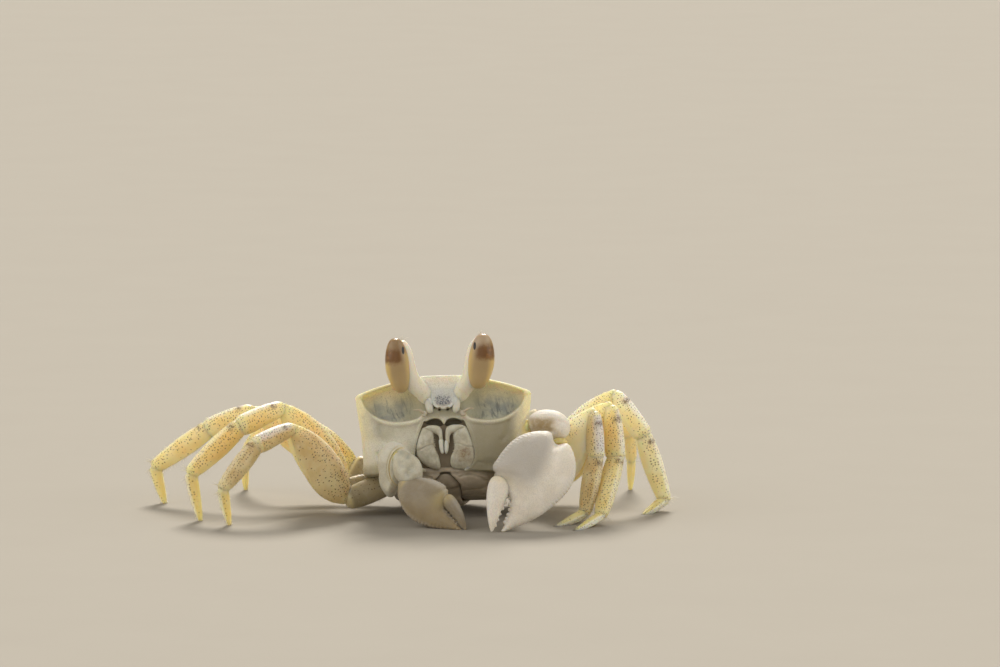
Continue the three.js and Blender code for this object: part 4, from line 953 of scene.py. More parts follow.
    # holes for the arm bases
    for side in (-1, 1):
        q = np.sqrt(((x - side * 10.4) / 5.6) ** 2 + ((y + 15.0) / 3.2) ** 2 + ((z + 8.9) / 3.2) ** 2)
        F = smax(F, -(q - 1) * 3.0, 0.4)
    return F


def body_piece(name, axes, F, mat, slot, *nodes, extra=None):
    v, q = surface_net(F, axes)
    v = relax(v, q, 1, 0.35)
    attrs = {"at": v}
    if extra is not None:
        attrs.update(extra(v))
    return keep(build_mesh(name, to_world(BODY, v), q, None, attrs), mat, slot, *nodes)


def furrows(x, y):
    """the furrows of the back, seen from above, 1 at their bottoms"""
    x = np.abs(x)
    long_ = line_distance(smooth_open([[3.2, -3.5], [3.9, -1.0], [3.3, 1.6], [4.3, 4.6], [3.9, 7.6]]), x, y)
    cross = line_distance(smooth_open([[0, 1.2], [1.8, 1.5], [3.3, 1.6]]), x, y)
    neck = line_distance(smooth_open([[3.9, -1.0], [7.0, -3.2], [10.5, -5.0], [13.5, -8.5]]), x, y)
    return np.maximum.reduce([np.exp(-(long_ / 0.7) ** 2), 0.8 * np.exp(-(cross / 0.5) ** 2), 0.7 * np.exp(-(neck / 0.7) ** 2)])


def shell_masks(v):
    x, y, z = np.abs(v[:, 0]), v[:, 1], v[:, 2]
    face = face_y(x, z)
    crest = front_height(x)
    front = smoothstep(6.5, 4.5, y - face)
    within = smoothstep(0, 0.6, z - orbit_low(x)) * smoothstep(-0.2, 0.3, crest - z) * smoothstep(3.4, 4.4, x) * smoothstep(0.1, -1.1, x - 16.6 - 0.22 * (z - 5))
    socket = within * front * smoothstep(0.1, 0.9, y - face)
    # where the shell is thin: brow, lower edge of the socket, corners; its yellow is partly its own and partly painted
    # glow of the light from behind
    corner = line_distance(smooth_open(FACE_CORNER), x, z)
    backlit_side_band = smoothstep(-0.7, 1.5, x - np.interp(z, [-9.0, -7.0, -3.5, 0.0, 3.6, 5.6], [14.0, 14.3, 14.8, 15.5, 16.3, 17.0])) * smoothstep(-6.5, -10.5, y) * smoothstep(-8.8, -5.0, z)
    outer = smoothstep(15.3, 16.6, x) * smoothstep(1.5, 4.0, z) * front            # beyond the socket's outer end
    thin_backlit = np.maximum.reduce([smoothstep(1.3, 0.1, np.abs(z - crest + 0.2)) * smoothstep(2.4, 0.4, y - face), outer,
                              0.45 * smoothstep(1.6, 0.2, corner) * front, backlit_side_band])
    tongue = outline_distance(mirrored([[0, 10.6], [4.4, 10.5]] + TONGUE[:-1] + [[0, 3.78]], 6), v[:, 0], z)
    lobe = smoothstep(0.1, -0.5, tongue) * smoothstep(1.0, -0.4, y - (-14.95 - 0.115 * (10 - z)))
    lobe_rim = smoothstep(0.55, 0.15, np.abs(tongue)) * smoothstep(1.0, -0.4, y - (-14.95 - 0.115 * (10 - z)))
    pit = smoothstep(0.35, 0.9, y - face) * smoothstep(4.5, 3.9, x) * (z < 8) * (z > -9.5) * front
    lip = outline_distance(mirrored([[0, 3.95], [2.4, 3.95], [3.6, 3.5], [4.0, 2.7], [3.95, 2.1], [3.2, 1.75], [1.9, 2.0], [0.75, 1.75], [0, 0.7]], 5), x, z)
    pit = np.maximum(pit, 0.7 * smoothstep(0.15, -0.15, lip) * smoothstep(1.9, 2.5, z) * (y < face + 0.9))
    # breathing gaps and the two small holes, darkened with painted shade
    gap = outline_distance(smooth_closed(OPENING, 6), x, z)
    dark = np.maximum(smoothstep(0.15, -0.15, gap) * smoothstep(0.4, 0.9, y - face), smoothstep(0.42, 0.2, np.hypot(x - 0.82, z - 3.72)) * (y < face + 1.7))
    frame_line = line_distance(smooth_open(FRAME_LINE), x, z)
    field = outline_distance(mirrored([[0, 1.35]] + [[3.4, 1.3]] + FRAME_LINE[1:] + [[2.0, -9.3], [0, -9.4]], 6), x, z)
    # the sunken field behind the mouth plates, darkened with painted shade
    deep = smoothstep(0.3, 0.9, y - face) * smoothstep(0.1, -0.1, field) * front
    return {
        "mask_a": np.stack([socket, thin_backlit, front], 1),
        "mask_b": np.stack([lobe, lobe_rim, np.maximum(dark, 0)], 1),
        "mask_d": np.stack([smoothstep(0.65, 0.1, np.abs(z - orbit_low(x) + 0.1)) * smoothstep(3, 5, x) * smoothstep(15.6, 13.4, x) * front * smoothstep(1.2, 0.3, y - face), furrows(x, y) * smoothstep(5.0, 6.5, z + 0.12 * (y + 6)), smoothstep(4.5, 9.5, y) * smoothstep(2.5, -2.0, z)], 1),
        "mask_c": np.stack([deep, smoothstep(0.3, 0.0, frame_line) * front, pit], 1),
    }


shell_axes = [np.arange(-19.2, 19.3, 0.165), np.concatenate([np.arange(-17.2, -9.6, 0.15), np.arange(-9.6, 17.0, 0.36)]), np.arange(-9.4, 12.4, 0.16)]
# spacing eases from fine at the face to coarse at the back
body_piece("carapace", shell_axes, shell_field(shell_axes), shell_mat, "shell", "shield", extra=shell_masks)
# ------------------------------------------------------------------ mouth plates
def pillow(outline, x, y, z, proud, swell, ease, back=1.3):
    d = outline_distance(smooth_closed(outline, 5), x, z)[:, None, :]
    face = face_y(x, z)[:, None, :]
    front = face - proud - swell * (1 - np.exp(np.minimum(d, 0) / ease))
    return smax(smax(d, front - y, 0.3), y - face - back, 0.2), d


MOUTH_R = {
    "body": [[-4.42, 0.02], [-5.0, -1.15], [-5.48, -2.4], [-5.86, -4.15], [-5.66, -5.5], [-4.6, -6.9], [-3.2, -7.85], [-1.36, -8.45], [-0.96, -7.86], [-1.06, -6.72], [-1.27, -5.58], [-1.82, -4.43], [-2.08, -3.29], [-2.12, -2.03], [-2.27, -0.89], [-3.12, -0.15], [-3.9, 0.2]],
    "cap": [[-4.0, -0.05], [-3.35, 0.42], [-2.23, 0.55], [-1.11, 0.32], [-0.5, -0.36], [-0.36, -1.38], [-0.38, -2.55], [-0.98, -2.4], [-1.2, -1.61], [-1.77, -1.14], [-2.51, -0.81], [-3.24, -0.44]],
    "palp": [[-1.14, -2.5], [-0.87, -2.35], [-0.27, -2.4], [-0.2, -3.4], [-0.27, -5.25], [-0.64, -5.2], [-0.99, -4.38], [-1.14, -3.37]],
    "seam": [[-1.9, -3.35], [-3.4, -3.6], [-4.8, -4.3], [-5.9, -4.5]],
}
MOUTH_L = {
    "body": [[4.3, 0.26], [5.0, -0.97], [5.55, -2.5], [5.9, -3.77], [6.06, -5.6], [5.8, -7.2], [4.9, -8.3], [2.76, -8.4], [1.52, -8.05], [1.12, -7.16], [1.29, -5.65], [1.92, -4.41], [1.97, -2.9], [1.8, -1.63], [2.23, -0.74], [2.99, -0.1]],
    "cap": [[0.25, -0.89], [0.5, -0.02], [1.26, 0.42], [2.51, 0.56], [3.75, 0.42], [4.2, 0.05], [2.98, -0.5], [2.22, -0.95], [1.47, -1.18], [1.1, -1.92], [1.0, -3.1], [0.5, -2.85], [0.22, -2.4]],
    "palp": [[0.1, -2.6], [0.42, -2.65], [0.8, -3.0], [0.78, -4.43], [0.4, -5.25], [0.08, -5.2]],
    "seam": [[1.9, -3.1], [3.2, -3.4], [4.6, -4.0], [5.9, -3.9]],
}
for side, m in (("R", MOUTH_R), ("L", MOUTH_L)):
    lo_x, hi_x = (-6.3, 0.0) if side == "R" else (-0.2, 6.5)
    axes = [np.arange(lo_x, hi_x + 0.3, 0.12), np.arange(-17.0, -11.4, 0.13), np.arange(-8.9, 1.1, 0.12)]
    x, y, z = open_grid(axes)
    xz, zz = x[:, 0, :], z[0]
    Fb, d = pillow(m["body"], xz, y, zz, 0.0, 0.75, 0.9)
    seam = line_distance(smooth_open(m["seam"]), xz, zz)[:, None, :]
    Fb = Fb + 0.10 * np.exp(-(seam / 0.16) ** 2) * (y < -13.2)
    # ischium carries a shallow lengthwise furrow near its inner edge
    inner = line_distance(smooth_open([[np.sign(lo_x + 0.5 if side == "R" else 1) * 2.6, -3.9], [np.sign(-1 if side == "R" else 1) * 2.0, -6.2], [np.sign(-1 if side == "R" else 1) * 1.9, -7.6]]), xz, zz)[:, None, :]
    Fb = Fb + 0.10 * np.exp(-(inner / 0.22) ** 2)
    Fc, _ = pillow(m["cap"], xz, y, zz, 0.3, 0.55, 0.45, 0.9)
    Fp, _ = pillow(m["palp"], xz, y, zz, 0.15, 0.4, 0.3, 0.8)
    F = np.minimum(smin(Fb, Fc, 0.05), Fp)

    def tag(v, m=m):
        p = outline_distance(smooth_closed(m["palp"], 4), v[:, 0], v[:, 2])
        c = outline_distance(smooth_closed(m["cap"], 4), v[:, 0], v[:, 2])
        s = line_distance(smooth_open(m["seam"]), v[:, 0], v[:, 2])
        stain = np.exp(-((v[:, 0] - 3.9) / 1.6) ** 2 - ((v[:, 2] + 5.4) / 1.5) ** 2) if m is MOUTH_L else np.zeros(len(v))
        return {"mask_a": np.stack([smoothstep(0.1, -0.1, p), smoothstep(0.1, -0.1, c), stain], 1), "mask_b": np.stack([np.exp(-(s / 0.15) ** 2), np.zeros(len(v)), np.zeros(len(v))], 1)}
    body_piece(f"mouth_{side}", axes, F, plate_mat, "belly", f"mouth_plate_{side}", extra=tag)

# ------------------------------------------------------------------ breast and folded tail
TAIL_PATH = [[14.2, 2.9], [15.45, 0.6], [15.35, -3.2], [13.1, -8.0], [8.6, -11.6], [3.0, -13.4], [-2.6, -13.8], [-7.2, -12.9], [-10.3, -11.3], [-12.1, -9.2]]
TAIL_HALF = [[0, 6.2], [0.2, 6.9], [0.38, 6.0], [0.58, 4.2], [0.78, 3.15], [0.9, 3.0], [0.97, 2.85], [1, 2.7]]
tail_line = smooth_open(TAIL_PATH, 24)
tail_step = np.concatenate([[0], np.cumsum(np.hypot(*np.diff(tail_line, axis=0).T))])
tail_v = tail_step / tail_step[-1]
tail_half = profile(TAIL_HALF)
SEGMENTS = [0.10, 0.22, 0.35, 0.49, 0.68, 0.92]


def tail_points(U, V):
    p = np.stack([np.interp(V, tail_v, tail_line[:, 0]), np.interp(V, tail_v, tail_line[:, 1])], 1)
    a, b = np.clip(V - 0.004, 0, 1), np.clip(V + 0.004, 0, 1)
    d = np.stack([np.interp(b, tail_v, tail_line[:, 0]) - np.interp(a, tail_v, tail_line[:, 0]), np.interp(b, tail_v, tail_line[:, 1]) - np.interp(a, tail_v, tail_line[:, 1])], 1)
    d /= np.linalg.norm(d, axis=1)[:, None] + 1e-9
    e = np.minimum(round_end(np.clip(V, 0, 1), 14), np.sqrt(np.clip((1.0 - V) / 0.06, 0, 1)) ** 0.9)
    ang = 2 * np.pi * U
    near = np.min([np.abs(V - s) + (V < s) * 0 for s in SEGMENTS], axis=0)
    groove = np.exp(-(near / 0.006) ** 2)
    # each segment swells a little and overlaps the next one
    ramp = np.zeros_like(V)
    edges = [0.0] + SEGMENTS + [1.0]
    for s0, s1 in zip(edges, edges[1:]):
        ramp = np.where((V >= s0) & (V < s1), (V - s0) / (s1 - s0), ramp)
    thick = 0.62 + 0.22 * np.sin(np.pi * ramp) ** 0.8 - 0.32 * groove
    wide = tail_half(V) * (1 - 0.035 * groove)
    c, s = np.cos(ang), np.sin(ang)
    arch = 0.55 * (1 - c * c)                      # low crown across each segment
    t = np.where(s > 0, thick * (1 + arch), thick)
    cx = np.sign(c) * np.abs(c) ** 0.8
    # outward is away from the breast
    out = np.stack([-d[:, 1], d[:, 0]], 1)
    off = e * t * s
    return np.stack([e * wide * cx, p[:, 0] + out[:, 0] * off, p[:, 1] + out[:, 1] * off], 1)


v, q, t, uu, vv = loft(72, 300, tail_points)
keep(build_mesh("tail_segments", to_world(BODY, v), q, t, {"at": v, "mask_a": np.stack([np.zeros(len(v)), np.zeros(len(v)), np.zeros(len(v))], 1),
     "mask_b": np.stack([np.exp(-(np.min([np.abs(vv - s) for s in SEGMENTS], axis=0) / 0.007) ** 2), np.ones(len(v)), smoothstep(0.8, 0.92, vv)], 1)}), plate_mat, "belly", "tail")

axes = [np.arange(-11.6, 11.7, 0.22), np.concatenate([np.arange(-13.6, -8.0, 0.15), np.arange(-8.0, 13.2, 0.3)]), np.arange(-14.2, -7.2, 0.17)]
x, y, z = open_grid(axes)
plan = outline_distance(mirrored(BREAST), x[:, :, 0], y[:, :, 0])[:, :, None]
keel = np.minimum(-9.4, -13.2 + 0.018 * (y + 2) ** 2)
sutures = np.full((len(axes[0]), len(axes[1])), 9.0)
px, py = np.abs(x[:, :, 0]), y[:, :, 0]
for y0 in (-8.6, -5.2, -1.4, 2.8, 7.0):
    sutures = np.minimum(sutures, np.abs(py - (y0 - 0.16 * px + 0.012 * px * px)) * 0.97)
swell = (0.22 * np.sin(np.clip(sutures, 0, 1.6) / 1.6 * np.pi / 2) - 0.3 * np.exp(-(sutures / 0.2) ** 2))[:, :, None]
F = smax(plan, keel - z, 2.6) - swell * smoothstep(-9.2, -9.8, z)
F = smax(F, z + 7.9, 0.4)
# front plate of the breast and its slanting seams
front_seam = line_distance(smooth_open([[2.9, -9.9], [4.6, -9.5], [6.4, -9.7], [8.4, -10.6]]), np.abs(x[:, 0, :]), z[0])[:, None, :]
F = F + 0.28 * np.exp(-(front_seam / 0.17) ** 2) * smoothstep(-8.5, -10.5, y)
front_ridge = line_distance(smooth_open([[0, -8.5], [2.4, -8.75], [4.6, -8.4], [7.0, -7.9]]), np.abs(x[:, 0, :]), z[0])[:, None, :]
F = F - 0.22 * np.exp(-(front_ridge / 0.45) ** 2) * smoothstep(-8.5, -10.5, y)
# trough for the tail
d_tail = np.full((len(axes[1]), len(axes[2])), 1e9); t_tail = np.zeros_like(d_tail)
Y2, Z2 = np.meshgrid(axes[1], axes[2], indexing="ij")
for i in range(len(tail_line) - 1):
    (x0, y0), (x1, y1) = tail_line[i], tail_line[i + 1]
    dx, dy = x1 - x0, y1 - y0
    w = np.clip(((Y2 - x0) * dx + (Z2 - y0) * dy) / (dx * dx + dy * dy), 0, 1)
    d = np.hypot(Y2 - x0 - w * dx, Z2 - y0 - w * dy)
    hit = d < d_tail
    d_tail = np.where(hit, d, d_tail); t_tail = np.where(hit, tail_v[i] + (tail_v[i + 1] - tail_v[i]) * w, t_tail)
w_tail = (tail_half(t_tail) * np.minimum(1, np.sqrt(np.clip((1.008 - t_tail) / 0.06, 0, 1))))[None]
d_tail = d_tail + 0.55 * (t_tail > 0.999)
F = smax(F, -smax(np.abs(x) - w_tail - 0.12, d_tail[None] - 0.95, 0.3), 0.2)
for side in (-1, 1):
    q0 = np.sqrt(((x - side * 10.4) / 5.2) ** 2 + ((y + 15.0) / 3.4) ** 2 + ((z + 9.2) / 3.0) ** 2)
    F = smax(F, -(q0 - 1) * 3.0, 0.4)
body_piece("breast_plates", axes, F, plate_mat, "belly", "breast", extra=lambda v: {"mask_a": np.zeros((len(v), 3)), "mask_b": np.stack([np.exp(-(line_distance(smooth_open([[2.9, -9.9], [4.6, -9.5], [6.4, -9.7], [8.4, -10.6]]), np.abs(v[:, 0]), v[:, 2]) / 0.2) ** 2) * (v[:, 1] < -9), np.full(len(v), 1.0), np.zeros(len(v))], 1)})

# ------------------------------------------------------------------ feelers
def blob(name, centre, half, axis, mat, slot, nodes, segs=(28, 20), power=2.0, pale=1.0):
    """a rounded lump in the body frame, its long side along `axis`"""
    fr = limb_frame(centre, axis, (0, -1, 0))

    def fn(U, V):
        t = 0.5 - 0.5 * np.cos(np.pi * V)
        e = round_end(t, power); a = 2 * np.pi * U
        return to_world(fr, np.stack([half[0] * (2 * t - 1), e * half[1] * np.cos(a), e * half[2] * np.sin(a)], 1))
    v, q, t, _, _ = loft(*segs, fn)
    return keep(build_mesh(name, to_world(BODY, v), q, t, {"at": v, "mask_a": np.stack([np.full(len(v), pale), np.zeros(len(v)), np.zeros(len(v))], 1), "mask_b": np.stack([np.zeros(len(v)), np.full(len(v), 1.0 - pale), np.zeros(len(v))], 1)}), mat, slot, *nodes)


def tube(points, radii, n=10, m=16):
    """bent tapering tube through points, closed with round ends"""
    P = smooth_open(points, 6)
    step = np.concatenate([[0], np.cumsum(np.linalg.norm(np.diff(P, axis=0), axis=1))]); step /= step[-1]
    rad = profile(np.stack([np.linspace(0, 1, len(radii)), radii], 1))

    def fn(U, V):
        t = 0.5 - 0.5 * np.cos(np.pi * V)
        c = np.stack([np.interp(t, step, P[:, k]) for k in range(3)], 1)
        d = np.stack([np.interp(np.minimum(t + 0.01, 1), step, P[:, k]) - np.interp(np.maximum(t - 0.01, 0), step, P[:, k]) for k in range(3)], 1)
        d /= np.linalg.norm(d, axis=1)[:, None]
        ref = np.array([0.13, 1.0, 0.21]); ref /= np.linalg.norm(ref)
        a1 = np.cross(d, ref); a1 /= np.linalg.norm(a1, axis=1)[:, None]
        a2 = np.cross(d, a1)
        r = rad(t) * round_end(t, 5)
        a = 2 * np.pi * U
        return c + a1 * (r * np.cos(a))[:, None] + a2 * (r * np.sin(a))[:, None]
    return loft(n, m, fn)


for side, s in (("R", -1), ("L", 1)):
    cx = -2.9 if s < 0 else 2.62
    blob(f"feeler_lobe_{side}", (cx, -15.45, 4.45), (1.62, 0.8, 0.95), (s * 0.16, 0.12, 1.0), plate_mat, "belly", (f"feeler_{side}",), power=2.3, pale=0.75)
    blob(f"feeler_fold_{side}", (cx - s * 0.15, -15.95, 5.35), (0.85, 0.42, 0.36), (s * 0.25, 0.1, 1.0), plate_mat, "belly", ())
    blob(f"feeler_base_{side}", (s * 3.95, -15.6, 2.75), (0.62, 0.52, 0.5), (s * 0.5, -0.1, -0.9), plate_mat, "belly", (), power=3, pale=0.2)
    v, q, t, _, vv = tube([[s * 4.1, -15.9, 2.9], [s * 4.6, -16.25, 3.3], [s * 5.3, -16.45, 3.55], [s * 6.2, -16.5, 3.5]], [0.3, 0.26, 0.2, 0.16], 10, 26)
    keep(build_mesh(f"feeler_whip_{side}", to_world(BODY, v), q, t, {"at": v, "mask_a": np.zeros((len(v), 3)), "mask_b": np.tile([0.0, 0.8, 0.0], (len(v), 1))}), plate_mat, "belly")
# ------------------------------------------------------------------ eyes
EYE = {
    "R": dict(centre=[-9.5, -14.7, 31.8], half=[2.4, 2.4, 5.65], lean=-5.5),
    "L": dict(centre=[7.62, -14.7, 32.7], half=[2.6, 2.5, 5.7], lean=4.5),
}
STALK = {
    "R": [[-2.9, -11.3, 24.1], [-4.3, -12.9, 26.0], [-6.6, -13.6, 28.4], [-7.7, -13.45, 31.0], [-8.15, -13.2, 34.0], [-8.6, -13.5, 36.8]],
    "L": [[2.7, -11.3, 24.5], [3.65, -12.9, 26.5], [5.4, -13.6, 29.2], [6.25, -13.4, 32.0], [6.7, -13.3, 35.0], [7.25, -13.6, 37.6]],
}
for side, e in EYE.items():
    lean = math.radians(e["lean"])
    R = np.array([[math.cos(lean), 0, math.sin(lean)], [0, 1, 0], [-math.sin(lean), 0, math.cos(lean)]])
    fr = (np.array(e["centre"]), R)
    hx, hy, hz = e["half"]
    inner = 1 if side == "R" else -1
    tags = []

    def fn(U, V):
        t = 0.5 - 0.5 * np.cos(np.pi * V)
        r = round_end(t, 2.5) * (1.03 - 0.13 * smoothstep(0.5, 1.0, t))
        a = 2 * np.pi * U
        low = smoothstep(0.5, 0.0, t)                       # the foot is slimmer and set inwards
        p = np.stack([r * hx * (1 - 0.10 * low) * np.cos(a) + inner * 0.32 * low, r * hy * np.sin(a), hz * (2 * t - 1)], 1)
        tags.append(np.stack([inner * r * np.cos(a), r * np.sin(a), 2 * t - 1], 1))
        return to_world(fr, p)
    v, q, t, _, _ = loft(64, 72, fn)
    keep(build_mesh(f"eye_{side}_cornea", v, q, t, {"at": from_world(BODY, v), "eye": np.vstack(tags)}), cornea_mat, "cornea", f"eye_{side}")

    P = smooth_open(STALK[side], 10)
    step = np.concatenate([[0], np.cumsum(np.linalg.norm(np.diff(P, axis=0), axis=1))]); step /= step[-1]
    rad = profile([[0, 2.1], [0.14, 1.95], [0.3, 1.8], [0.5, 1.98], [0.7, 2.02], [0.88, 1.75], [1, 1.25]])
    tags = []

    def stalk_fn(U, V):
        t = 0.5 - 0.5 * np.cos(np.pi * V)
        c = np.stack([np.interp(t, step, P[:, k]) for k in range(3)], 1)
        d = np.stack([np.interp(np.minimum(t + 0.02, 1), step, P[:, k]) - np.interp(np.maximum(t - 0.02, 0), step, P[:, k]) for k in range(3)], 1)
        d /= np.linalg.norm(d, axis=1)[:, None]
        a1 = np.cross(np.array([0, 1.0, 0]), d); a1 /= np.linalg.norm(a1, axis=1)[:, None]
        a2 = np.cross(d, a1)
        a = 2 * np.pi * U
        r = rad(t) * round_end(t, 3.5) * (1 + 0.03 * np.sin(3 * a + 6 * t))
        ring = 1 - 0.07 * np.exp(-((t - 0.2) / 0.02) ** 2)          # the joint near the root
        tags.append(np.stack([t, np.cos(a), np.sin(a)], 1))
        return c + a1 * (r * ring * np.cos(a))[:, None] + a2 * (0.95 * r * ring * np.sin(a))[:, None]
    v, q, t, _, _ = loft(48, 80, stalk_fn)
    keep(build_mesh(f"eyestalk_{side}_shaft", v, q, t, {"at": from_world(BODY, v), "mask_a": np.vstack(tags)}), stalk_mat, "eyestalk", f"eyestalk_{side}")
# ------------------------------------------------------------------ claws
CLAW = {
    "L": dict(
        arm=[[10.6, -14.6, 6.6], [19.4, -17.0, 19.6]], arm_half=2.7, arm_thick=2.0,
        wrist=[[17.6, -17.6, 20.4], [24.9, -19.0, 19.8]], wrist_half=3.9, wrist_thick=3.3,
        hand=[22.5, -22.5, 17.45], tip=[11.2, -31.5, 0], across=[0.8, 0, -0.6], length=22.3,
        upper=[[-1.5, -2.4], [-0.8, -4.0], [0.4, -5.3], [2.2, -6.5], [4.2, -7.25], [6.6, -7.7], [9.6, -7.9], [12, -7.7], [13.2, -5.6], [14.4, -3.3], [15.6, -1.5], [18.6, -0.3], [22.3, 0.1]],
        lower=[[-1.5, 3.4], [-0.6, 5.2], [0.9, 6.4], [2.8, 7.2], [5.5, 7.65], [8.6, 7.35], [11.5, 6.6], [15.2, 5.3], [18.5, 3.5], [21, 1.8], [22.3, 0.9]],
        thick=[[-1.5, 2.0], [1.5, 2.9], [6, 3.4], [11, 3.1], [15, 2.4], [19, 1.6], [22.3, 0.7]],
        finger=dict(start=[13.2, -5.0], end=[23.5, -1.2], outer=[[0, 2.7], [0.35, 2.2], [0.7, 1.35], [1, 0.45]], inner=[[0, -2.9], [0.3, -1.9], [0.7, -1.0], [1, -0.35]], thick=[[0, 2.1], [0.5, 1.7], [1, 0.55]]),
        notch=[-1.9, 0.5, 2.5, 1.4], teeth=[15.4, 16.5, 17.5, 18.5, 19.4, 20.2], tooth=0.42, h=0.17),
    "R": dict(
        arm=[[-11.0, -14.4, 5.6], [-11.0, -18.7, 12.6]], arm_half=2.2, arm_thick=2.0,
        wrist=[[-8.9, -20.7, 14.1], [-5.9, -22.4, 8.9]], wrist_half=3.1, wrist_thick=2.4,
        hand=[-7.6, -22.6, 8.3], tip=[4.0, -28.2, 0.15], across=[-0.5, 0, -0.8], length=15.1,
        upper=[[-1.7, -1.2], [-0.8, -2.7], [1.7, -3.3], [3.6, -4.1], [5.8, -4.6], [7.6, -4.5], [8.6, -3.0], [9.4, -1.2], [11, -0.5], [15.1, 0.15]],
        lower=[[-1.7, 1.5], [-0.6, 2.8], [0.8, 3.7], [3.3, 4.5], [6.0, 4.6], [9.5, 3.6], [12.5, 2.2], [15.1, 0.7]],
        thick=[[-1.7, 1.4], [1.5, 2.0], [5, 2.3], [9, 1.7], [12, 1.2], [15.1, 0.55]],
        finger=dict(start=[8.7, -2.7], end=[15.9, -0.1], outer=[[0, 1.75], [0.4, 1.4], [0.75, 0.85], [1, 0.35]], inner=[[0, -1.6], [0.35, -1.1], [0.75, -0.65], [1, -0.3]], thick=[[0, 1.4], [0.5, 1.05], [1, 0.45]]),
        notch=None, teeth=[10.2, 11.0, 11.8, 12.6, 13.4], tooth=0.27, h=0.14),
}


def local_grid(fr, lo, hi, h):
    """axes in the piece's own frame"""
    return [np.arange(a, b + h, h) for a, b in zip(lo, hi)]


def flat_limb(a, b, c, length, up, down, wide, ends, blunt, section=2.2, grow=0.0):
    """field of a limb piece in its own frame: a along, b across, c dorsal"""
    x0, x1 = ends[0] - grow, length + ends[1] + grow
    t = np.clip((a - x0) / (x1 - x0), 0, 1)
    e = np.maximum(round_end(t, blunt), 0.02)
    s = np.clip(a / length, 0, 1)
    u, d, w = up(s), down(s), wide(s)
    hh, mid = ((u - d) / 2 + grow) * e, (u + d) / 2
    ww = (w + grow) * e
    q = (np.abs(b / ww) ** section + np.abs((c - mid) / hh) ** section) ** (1 / section)
    f = (q - 1) * np.minimum(ww, hh)
    return np.maximum(f, np.maximum(x0 - a, a - x1))


def grid_world(fr, A, B, C):
    P = np.broadcast_arrays(A, B, C)
    return to_world(fr, np.stack([v.ravel() for v in P], 1)).reshape(P[0].shape + (3,))


def slab(outline, P, y_mid, half, ease, corner, lean=0.0):
    """field of a cushion whose outline is drawn in x and z, swelling fore and aft away from its edge"""
    d = outline_distance(smooth_closed(outline, 4), P[..., 0], P[..., 2])
    z0 = float(np.mean([p[1] for p in outline]))
    t = half * (1 - np.exp(np.minimum(d, 0) / ease))
    return smax(d, np.abs(P[..., 1] - y_mid - lean * (P[..., 2] - z0)) - t, corner)


HOOD_R = [[-13.7, 12.0], [-13.15, 14.7], [-12.0, 16.25], [-10.3, 16.9], [-8.5, 16.3], [-6.9, 14.8], [-5.9, 13.2], [-5.7, 11.4], [-7.2, 9.2], [-9.2, 7.2], [-11.1, 5.9], [-12.3, 6.6], [-13.2, 9.2]]
END_L = [[14.6, 17.0], [15.1, 19.1], [16.2, 21.5], [17.5, 23.0], [18.8, 23.3], [19.8, 21.8], [19.4, 19.0], [18.2, 17.0], [16.6, 16.2]]
WRIST_L = [[16.75, 20.4], [17.2, 21.9], [18.4, 22.9], [19.8, 23.35], [21.6, 23.4], [23.5, 22.95], [25.0, 21.85], [25.85, 20.3], [25.75, 18.7], [24.9, 17.4], [23.3, 16.8], [21.6, 16.7], [19.6, 17.2], [17.8, 18.4]]


def ridge_rings(x, z):
    """1, 1.07, 1.14 ... on rings about the wrist of the smaller claw"""
    return np.sqrt(((x + 8.25) / 2.7) ** 2 + ((z - 11.5) / 3.75) ** 2)


def claw_piece(name, fr, axes, F, mat, node, masks=None, floor=True):
    v, q = surface_net(F, axes)
    v = relax(v, q, 1, 0.4)
    world = to_world(fr, v)
    if floor:
        world[:, 2] = np.maximum(world[:, 2], 0.0)
    a = masks(v, world) if masks else None
    za = np.zeros(len(v))
    a = a or {}
    attrs = {"at": world, "mask_a": np.stack([a.get("tan", za), a.get("yellow", za), a.get("ridge", za)], 1), "mask_b": np.stack([a.get("dimple", za), a.get("spots", za), a.get("side", za)], 1)}
    return keep(build_mesh(name, world, q, None, attrs), mat, "claw", node)


